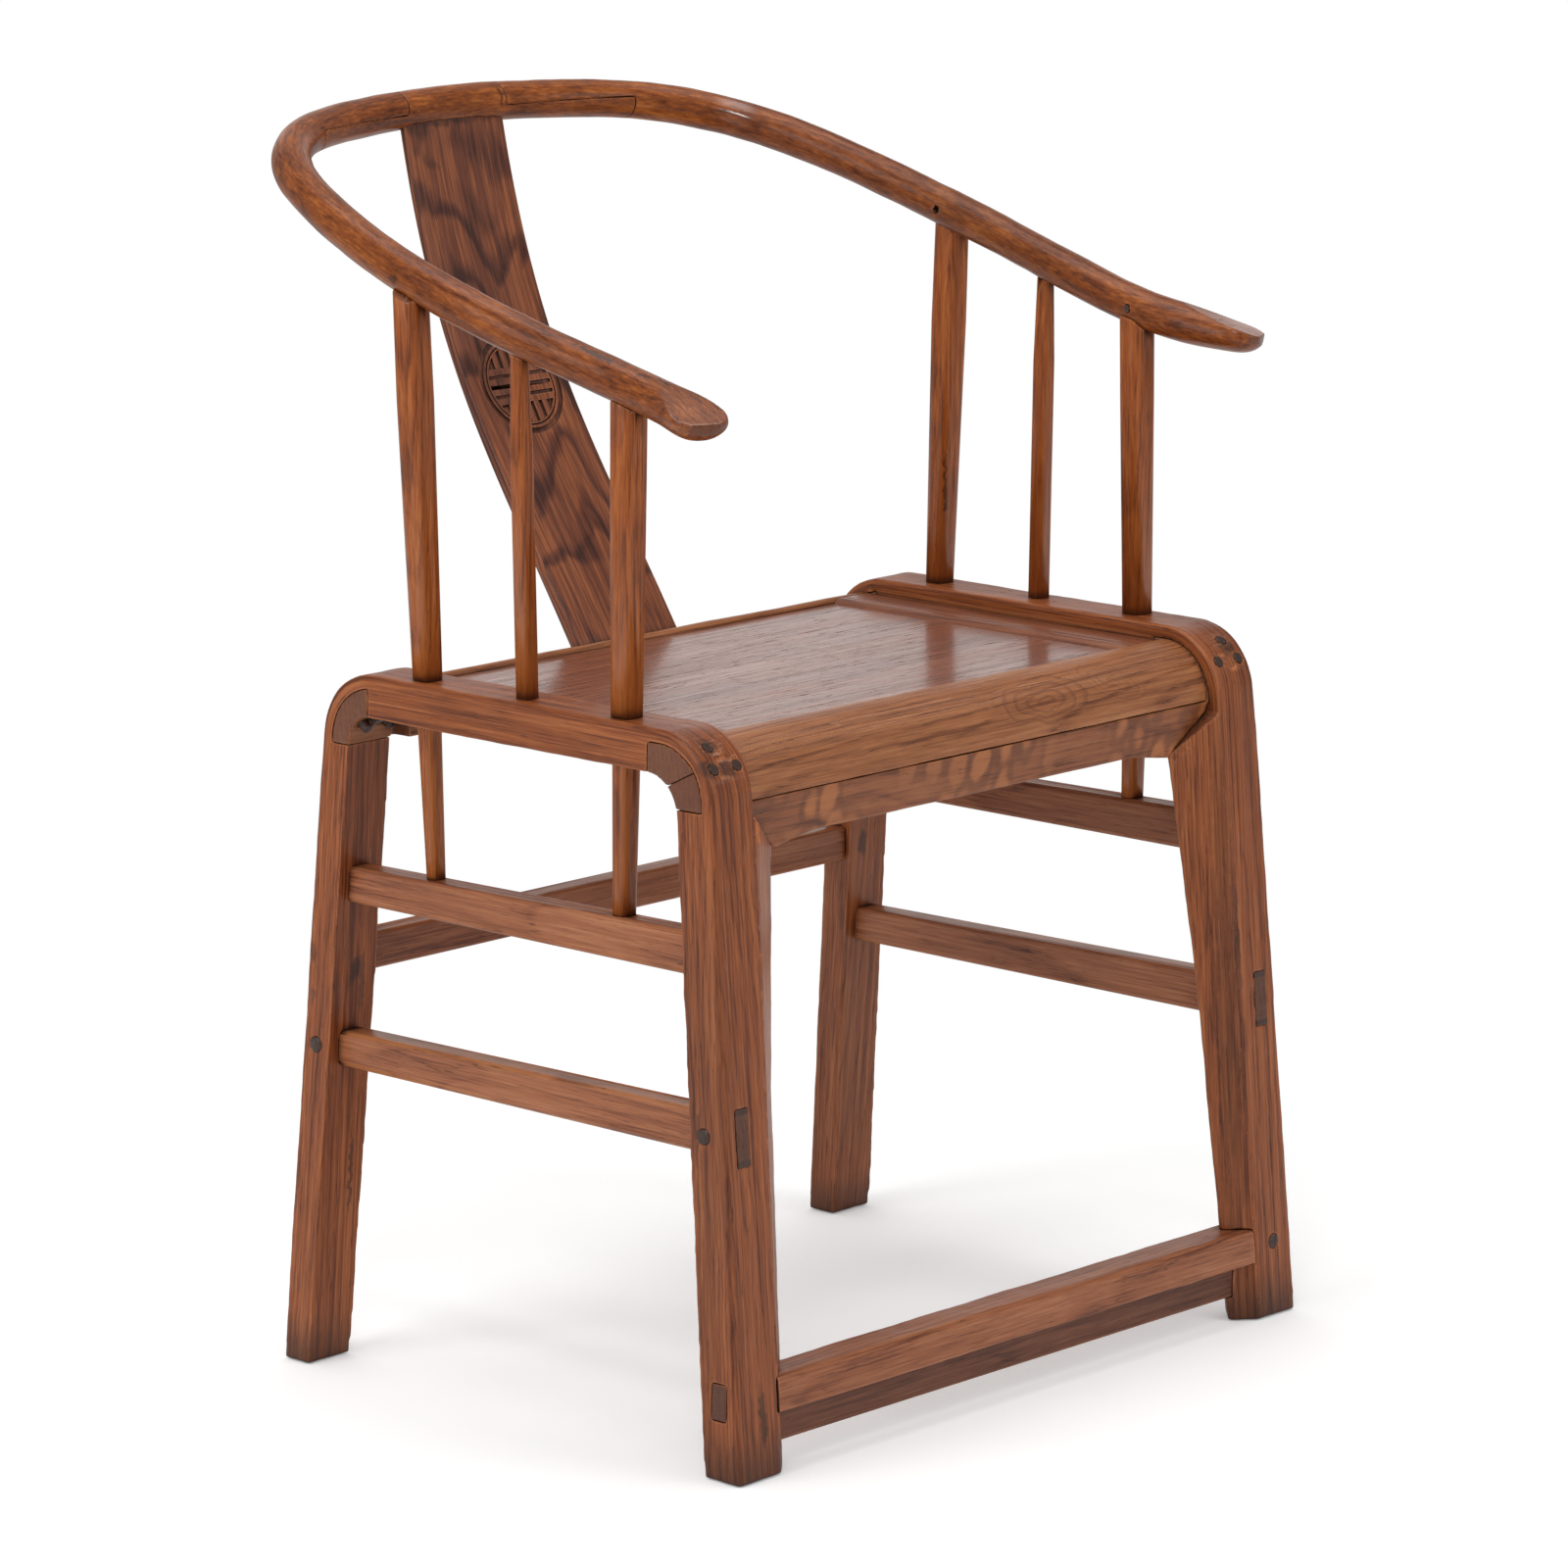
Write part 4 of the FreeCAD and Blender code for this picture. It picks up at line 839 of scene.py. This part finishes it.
    def dress(self, piece: Object, line: GrainLine, finish: WoodFinish, slot: str, *nodes: str) -> None:
        """Gives a piece its grain, finish and body, and hides the nodes that it stands for.

        Args:
            piece: the finished mesh object.
            line: the line that its grain follows.
            finish: its finish.
            slot: not used.
            nodes: the nodes that it replaces.
        """
        self.count += 1
        mesh = piece.data
        values = line.coordinates(rows_of(mesh.vertices, "co"), GRAIN_SHIFT * self.count)
        layer = mesh.attributes.new(GRAIN, "FLOAT_VECTOR", "POINT")
        layer.data.foreach_set("vector", values.ravel().astype(np.float32))
        self.mark_ends(mesh, line)
        if finish not in self.made:
            self.made[finish] = WoodShader(finish).build()
        mesh.materials.clear()
        mesh.materials.append(self.made[finish])
        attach(piece, "root")
        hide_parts(*nodes)
        log.info("%s: %d faces", piece.name, len(mesh.polygons))

    def timber(self, node: str, line: GrainLine, finish: WoodFinish, wear: Wear | float = SHARP) -> None:
        """Copies a node's solid, shapes its arrises and dresses it.

        Args:
            node: the node's name.
            line: the line that its grain follows.
            finish: its finish.
            wear: how far it is worn, or the width that its arrises are rounded by.
        """
        piece = self.copied(node)
        if isinstance(wear, Wear):
            self.wear_down(piece, bpy.data.objects[node], wear)
        elif wear:
            self.round_off(piece, wear)
        self.dress(piece, line, finish, finish.name, node)


def straight(node: str, way: Way) -> GrainLine:
    """Gives the straight grain line of a node through the middle of its box.

    Args:
        node: the node's name.
        way: the way that it runs.

    Returns:
        The line.
    """
    low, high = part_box(node)
    start, end = (low + high) / 2, (low + high) / 2
    start[way.value], end[way.value] = low[way.value], high[way.value]
    return GrainLine((tuple(start), tuple(end)))


@dataclass
class SideFrames:
    """The two bent timbers that are front leg, side rail and back leg in one."""

    out: float = 0.272
    foot_place: float = 0.211
    bend_place: float = 0.14084
    bend_height: float = 0.462
    line_radius: float = 0.034
    steps: int = 8
    wear: Wear = Wear(0.0017, 3, 0.0005, 0.035, 0.012, 14)

    def line(self, side: int) -> GrainLine:
        """Gives the grain line from the front foot over the rail to the back foot.

        Args:
            side: -1 for the left frame and 1 for the right one.

        Returns:
            The line.
        """
        across = side * self.out
        half = [(self.foot_place, 0.0)]
        for step in range(self.steps + 1):
            turn = math.radians(90) * step / self.steps
            half.append((self.bend_place + self.line_radius * math.cos(turn),
                         self.bend_height + self.line_radius * math.sin(turn)))
        front = [(across, CENTRE - place, height) for place, height in half]
        back = [(across, CENTRE + place, height) for place, height in reversed(half)]
        return GrainLine(tuple(front + back))

    def build(self, bench: Bench) -> None:
        """Builds and dresses both frames."""
        for side, name in ((-1, "left_side_frame"), (1, "right_side_frame")):
            bench.timber(name, self.line(side), FRAME_WOOD, self.wear)


@dataclass
class Timbers:
    """Straight timbers: in each row a node, the way it runs, its finish and its wear or width of arris."""

    rows: tuple = ()

    def build(self, bench: Bench) -> None:
        """Builds and dresses the timbers in order."""
        for name, way, finish, wear in self.rows:
            bench.timber(name, straight(name, way), finish, wear)


@dataclass
class SeatFrame(Timbers):
    """Front and back rail, apron, inner rails, batten and panel."""

    rows: tuple = (
        ("front_seat_rail", Way.SIDEWAYS, RAIL_WOOD, SEAT_WEAR),
        ("back_seat_rail", Way.SIDEWAYS, RAIL_WOOD, SEAT_WEAR),
        ("front_apron", Way.SIDEWAYS, APRON_WOOD, SEAT_WEAR),
        ("left_inner_seat_rail", Way.LENGTHWAYS, INNER_RAIL_WOOD, ARRIS),
        ("right_inner_seat_rail", Way.LENGTHWAYS, INNER_RAIL_WOOD, ARRIS),
        ("seat_batten", Way.LENGTHWAYS, INNER_RAIL_WOOD, ARRIS),
        ("seat_panel", Way.SIDEWAYS, PANEL_WOOD, ARRIS),
    )


@dataclass
class Stretchers(Timbers):
    """Side stretchers, back stretcher, footrest and its apron."""

    rows: tuple = (
        *((f"{side}_{level}_side_stretcher", Way.LENGTHWAYS, STRETCHER_WOOD, SHARP)
          for level in ("upper", "lower") for side in ("left", "right")),
        ("back_stretcher", Way.SIDEWAYS, STRETCHER_WOOD, SHARP),
        ("footrest", Way.SIDEWAYS, STRETCHER_WOOD, FOOTREST_WEAR),
        ("footrest_apron", Way.SIDEWAYS, STRIP_WOOD, ARRIS),
    )


@dataclass
class Pegs(Timbers):
    """Pegs and wedges of darker wood, seen on their end grain."""

    rows: tuple = (
        ("corner_pegs", Way.LENGTHWAYS, PEG_WOOD, SHARP),
        ("stretcher_pegs", Way.SIDEWAYS, PEG_WOOD, SHARP),
        ("arm_pegs", Way.UPWARDS, PEG_WOOD, SHARP),
        ("scarf_wedges", Way.UPWARDS, PEG_WOOD, SHARP),
        ("through_tenon_wedges", Way.LENGTHWAYS, WEDGE_WOOD, SHARP),
    )


@dataclass
class ArmRail:
    """The horseshoe rail in three lengths."""

    half_width: float = 0.277
    back: float = 0.358 + CENTRE
    front: float = -0.190 + CENTRE
    crest_height: float = 0.875
    grip_height: float = 0.725
    shares: tuple = ((0.00, 0.000, 0.000), (0.39, 0.020, 0.020), (0.653, 0.071, 0.060), (0.838, 0.159, 0.159),
                     (0.92, 0.248, 0.265), (0.989, 0.418, 0.477), (1.00, 0.551, 0.629), (0.978, 0.708, 0.795),
                     (0.964, 0.836, 0.916), (1.050, 1.000, 1.000))
    wear: Wear = Wear(0.0014, 5, 0.0006, 0.06, held_behind=0.06)

    def line(self) -> GrainLine:
        """Gives the whole rail's centre line from the left grip round the back to the right one."""
        right = []
        for outward, along, drop in self.shares:
            right.append((self.half_width * outward, self.back + (self.front - self.back) * along,
                          self.crest_height + (self.grip_height - self.crest_height) * drop))
        left = [(-x, y, z) for x, y, z in right[:0:-1]]
        return GrainLine(tuple(softened(left + right, 2)))

    def build(self, bench: Bench) -> None:
        """Builds and dresses the rail."""
        for name in ("left_arm_rail", "crest_rail", "right_arm_rail"):
            bench.timber(name, self.line(), ARM_WOOD, self.wear)


@dataclass
class Posts:
    """Six soft-square posts from the side rails up to the arm rail."""

    places: tuple = ("middle", "front")
    # The back post's shoulder: the rail's middle and fall over it, the start of the cut and its slope
    rail_place: tuple = (0.2768, 0.0298, 0.7946)
    rail_fall: float = math.radians(17.4)
    shoulder_out: float = 0.0146
    shoulder_down: float = 0.0128
    shoulder_slope: float = math.radians(35)

    def back_post(self, bench: Bench, side: str, sign: int) -> None:
        """Builds a back post with its outer shoulder cut back under the round of the arm rail.

        Args:
            bench: what the piece goes through.
            side: the side's name.
            sign: -1 for the left side and 1 for the right one.
        """
        name = f"{side}_back_post"
        piece = bench.copied(name)
        upright = Vector((0.0, -math.sin(self.rail_fall), math.cos(self.rail_fall)))
        outward = Vector((sign, 0.0, 0.0))
        middle = Vector(self.rail_place) * Vector((sign, 1.0, 1.0))
        corner = middle + outward * self.shoulder_out - upright * self.shoulder_down
        normal = upright * math.cos(self.shoulder_slope) + outward * math.sin(self.shoulder_slope)
        cut = {"plane_co": corner, "plane_no": normal, "use_fill": True, "clear_outer": True}
        bench.edit(piece, bpy.ops.mesh.bisect, cut)
        bench.dress(piece, straight(name, Way.UPWARDS), POST_WOOD, POST_WOOD.name, name)

    def build(self, bench: Bench) -> None:
        """Builds and dresses the posts.

        Args:
            bench: what each piece goes through.
        """
        for side, sign in (("left", -1), ("right", 1)):
            self.back_post(bench, side, sign)
            for place in self.places:
                name = f"{side}_{place}_post"
                bench.timber(name, straight(name, Way.UPWARDS), POST_WOOD)


@dataclass
class BackSplat:
    """The curved splat with its carved roundel, cut flat and then bent to the solid's curve."""

    half_width: float = 0.051
    thickness: float = 0.008
    foot: float = 0.497
    head: float = 0.866
    line_steps: int = 61
    roundel_height: float = 0.673
    roundel_shift: float = 0.002
    field_radius: float = 0.0305
    groove: tuple = (0.0352, 0.0395)
    hairline: tuple = (0.0318, 0.0330)
    depth: float = 0.0022
    arris: float = 0.0012
    carved_arris: float = 0.0004
    carved_angle: float = math.radians(50)
    smooth_angle: float = math.radians(35)
    # The long level bars of the fretwork: how far above its middle each lies, and their width and height
    bars: tuple = (0.0117, 0.0039, -0.0039, -0.0117)
    bar_size: tuple = (0.064, 0.0050)
    # The short upright bars: how far sideways and how far above and below the middle, width and height
    uprights: tuple = (-0.0170, -0.0085, 0.0, 0.0085, 0.0170)
    upright_rise: float = 0.0225
    upright_size: tuple = (0.0046, 0.0165)

    def profile(self) -> list:
        """Reads the solid's front and back line.

        Returns:
            For each step: distance along the front, front place, back place, both as depth and height.
        """
        node = bpy.data.objects["back_splat"]
        rows = []
        length = 0.0
        for step in range(self.line_steps):
            height = self.foot + (self.head - self.foot) * step / (self.line_steps - 1)
            front = node.ray_cast(Vector((0.0, -1.0, height)), Vector((0.0, 1.0, 0.0)))[1]
            back = node.ray_cast(Vector((0.0, 1.0, height)), Vector((0.0, -1.0, 0.0)))[1]
            if rows:
                length += math.dist((front.y, front.z), rows[-1][1])
            rows.append((length, (front.y, front.z), (back.y, back.z)))
        return rows

    def block(self, middle: tuple, size: tuple) -> Object:
        """Adds a squared block by its middle and its three sizes."""
        bpy.ops.mesh.primitive_cube_add(size=1.0, location=middle, scale=size)
        return settled()

    def disc(self, radius: float, middle: float) -> Object:
        """Adds a disc at a place along the board, as thick as reaches to the carved depth."""
        bpy.ops.mesh.primitive_cylinder_add(vertices=96, radius=radius, depth=self.depth * 2,
                                            location=(self.roundel_shift, 0.0, middle),
                                            rotation=(math.radians(90), 0.0, 0.0))
        return settled()

    def take_away(self, bench: Bench, piece: Object, cutter: Object) -> None:
        """Cuts one mesh out of another and removes the cutter."""
        bench.apply(piece, "BOOLEAN", operation="DIFFERENCE", object=cutter, solver="EXACT")
        bpy.data.objects.remove(cutter)

    def carve(self, bench: Bench, board: Object, middle: float) -> None:
        """Carves the roundel into the flat board.

        Args:
            bench: the bench.
            board: the flat board.
            middle: the roundel's place along the board.
        """
        for inner, outer in (self.groove, self.hairline):
            ring, core = self.disc(outer, middle), self.disc(inner, middle)
            core.data.transform(Matrix.Diagonal((1.0, 2.0, 1.0, 1.0)))
            self.take_away(bench, ring, core)
            self.take_away(bench, board, ring)
        field = self.disc(self.field_radius, middle)
        level = [(0.0, place, *self.bar_size) for place in self.bars]
        short = [(place, rise, *self.upright_size) for place in self.uprights
                 for rise in (self.upright_rise, -self.upright_rise)]
        for sideways, upwards, width, height in level + short:
            place = (self.roundel_shift + sideways, 0.0, middle + upwards)
            self.take_away(bench, field, self.block(place, (width, self.depth * 4, height)))
        self.take_away(bench, board, field)

    def bend(self, board: Object, rows: list) -> None:
        """Moves the flat board's points onto the solid's curve.

        Args:
            board: the flat board, front at depth 0.
            rows: the solid's profile.
        """
        lengths, fronts, backs = (np.array([row[column] for row in rows]) for column in range(3))
        slopes = np.gradient(fronts, lengths, axis=0)
        for vertex in board.data.vertices:
            along, share = vertex.co.z, vertex.co.y / self.thickness
            front, slope, back = ([np.interp(along, lengths, table[:, side]) for side in (0, 1)]
                                  for table in (fronts, slopes, backs))
            size = math.hypot(*slope)
            deep = (back[0] - front[0]) * abs(slope[1]) / size
            vertex.co.y = front[0] + deep * share * slope[1] / size
            vertex.co.z = front[1] - deep * share * slope[0] / size

    def build(self, bench: Bench) -> None:
        """Builds and dresses the splat.

        Args:
            bench: what each piece goes through.
        """
        rows = self.profile()
        length = rows[-1][0]
        heights = [row[1][1] for row in rows]
        middle = float(np.interp(self.roundel_height, heights, [row[0] for row in rows]))
        bench.clear_selection()
        board = self.block((0.0, self.thickness / 2, length / 2),
                           (self.half_width * 2, self.thickness, length))
        board.name = "carved_splat"
        bench.apply(board, "BEVEL", width=self.arris, segments=3)
        self.carve(bench, board, middle)
        bench.apply(board, "BEVEL", width=self.carved_arris, segments=2, limit_method="ANGLE",
                    angle_limit=self.carved_angle)
        # The board is cut across at many heights, so that it can bend
        slices = [length * step / (self.line_steps - 1) for step in range(1, self.line_steps - 1)]
        bench.edit(board, bpy.ops.mesh.bisect, *({"plane_co": (0.0, 0.0, height), "plane_no": (0.0, 0.0, 1.0)}
                                                 for height in slices))
        self.bend(board, rows)
        bpy.ops.object.shade_smooth_by_angle(angle=self.smooth_angle)
        line = GrainLine(tuple((0.0, row[1][0] + self.thickness / 2, row[1][1]) for row in rows[::4]))
        bench.dress(board, line, SPLAT_WOOD, "splat_wood", "back_splat")


def stand(name: str, data: ID, place: tuple, gaze: Vector) -> Object:
    """Stands a lamp or camera at a place.

    Args:
        name: its name.
        data: the lamp or camera.
        place: where it stands.
        gaze: the direction that it looks along.

    Returns:
        The object.
    """
    thing = bpy.data.objects.new(name, data)
    bpy.context.scene.collection.objects.link(thing)
    thing.location = place
    thing.rotation_euler = gaze.to_track_quat("-Z", "Y").to_euler()
    return thing


@dataclass(frozen=True)
class SoftBox:
    """One studio lamp."""

    name: str
    place: tuple
    target: tuple
    width: float
    height: float
    power: float

    def build(self) -> None:
        """Adds the lamp."""
        data = bpy.data.lights.new(self.name, "AREA")
        data.shape = "RECTANGLE"
        data.size, data.size_y = self.width, self.height
        data.energy = self.power
        stand(self.name, data, self.place, Vector(self.target) - Vector(self.place))


@dataclass
class Studio:
    """Pale floor, soft light and the camera."""

    eye: tuple = (-3.52186, -3.35709, 1.41483)
    gaze: tuple = (0.7147, 0.6690, -0.2041)
    focal_length: float = 156.72
    sensor: float = 36.0
    world_strength: float = 0.5
    reflected_strength: float = 0.35
    floor_size: float = 30.0
    floor_drop: float = 0.0005
    floor_fade: tuple = (0.45, 1.1)
    floor_colour: tuple = (0.9, 0.9, 0.9, 1.0)
    floor_glow: float = 0.2
    lamps: tuple = (
        SoftBox("left_lamp", (-2.6, 0.4, 1.9), (0.0, 0.0, 0.45), 1.6, 1.8, 30.0),
        SoftBox("front_lamp", (0.8, -2.8, 1.8), (0.0, 0.0, 0.45), 1.6, 1.8, 21.0),
        SoftBox("top_lamp", (0.2, 0.3, 3.0), (0.0, 0.0, 0.4), 2.0, 2.0, 30.0),
        SoftBox("spark_lamp", (-1.63, -1.32, 2.64), (0.220, 0.196, 0.861), 0.5, 0.5, 13.0),
        SoftBox("back_lamp", (3.5, 3.3, 1.7), (0.0, 0.0, 0.5), 4.0, 2.0, 14.0),
    )

    def camera(self) -> None:
        """Places the camera at the photograph's angle."""
        data = bpy.data.cameras.new("camera")
        data.lens = self.focal_length
        data.sensor_width = self.sensor
        data.clip_start, data.clip_end = 0.1, 60.0
        bpy.context.scene.camera = stand("camera", data, self.eye, Vector(self.gaze))

    def backdrop(self) -> None:
        """Makes the world white for the camera, paler in reflections and soft on the object."""
        world = bpy.data.worlds.new("studio")
        bpy.context.scene.world = world
        shader = Shader(world)
        path = shader.add("LightPath")
        strength = self.world_strength
        for ray, seen in (("Is Glossy Ray", self.reflected_strength), ("Is Transmission Ray", 1.0),
                          ("Is Camera Ray", 1.0)):
            inputs = {"Factor": path.outputs[ray], "A": strength, "B": seen}
            strength = shader.number("Mix", None, inputs, "Result")
        light = shader.add("Background", None, {"Color": WHITE, "Strength": strength})
        shader.add("OutputWorld", None, {0: light.outputs[0]})

    def floor(self) -> None:
        """Lays the pale floor, which keeps the chair's shadow and fades to the white backdrop."""
        bpy.ops.object.select_all(action="DESELECT")
        bpy.ops.mesh.primitive_plane_add(size=self.floor_size, location=(0.0, 0.0, -self.floor_drop))
        floor = settled()
        floor.name = "floor"
        shader = Shader(bpy.data.materials.new("floor_paper"))
        seen = shader.number("LightPath", None, None, "Is Camera Ray")
        place = shader.add("TexCoord").outputs["Object"]
        far = shader.number("VectorMath", {"operation": "LENGTH"}, {0: place}, 1)
        diffuse = shader.add("BsdfDiffuse", None, {"Color": self.floor_colour})
        glow = shader.add("Emission", None, {"Color": WHITE, "Strength": self.floor_glow})
        near = shader.add("AddShader", None, {0: diffuse.outputs[0], 1: glow.outputs[0]})
        white = shader.add("Emission", None, {"Color": WHITE, "Strength": 1.0})
        shown = shader.add("MixShader", None, {0: far.step(*self.floor_fade), 1: near.outputs[0],
                                                         2: white.outputs[0]})
        mix = shader.add("MixShader", None, {0: seen, 1: diffuse.outputs[0], 2: shown.outputs[0]})
        shader.add("OutputMaterial", None, {"Surface": mix.outputs[0]})
        floor.data.materials.append(shader.owner)

    def build(self) -> None:
        """Sets the studio up."""
        self.camera()
        self.backdrop()
        self.floor()
        for lamp in self.lamps:
            lamp.build()
        bpy.context.scene.view_settings.view_transform = "Standard"


def main() -> None:
    """Builds the dressed chair and its studio."""
    logging.basicConfig(level=logging.INFO, format="%(message)s")
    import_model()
    bench = Bench()
    for part in (SideFrames(), SeatFrame(), BackSplat(), ArmRail(), Posts(), Stretchers(), Pegs()):
        part.build(bench)
        log.info("%s done", type(part).__name__)
    Studio().build()


if __name__ == "__main__":
    main()
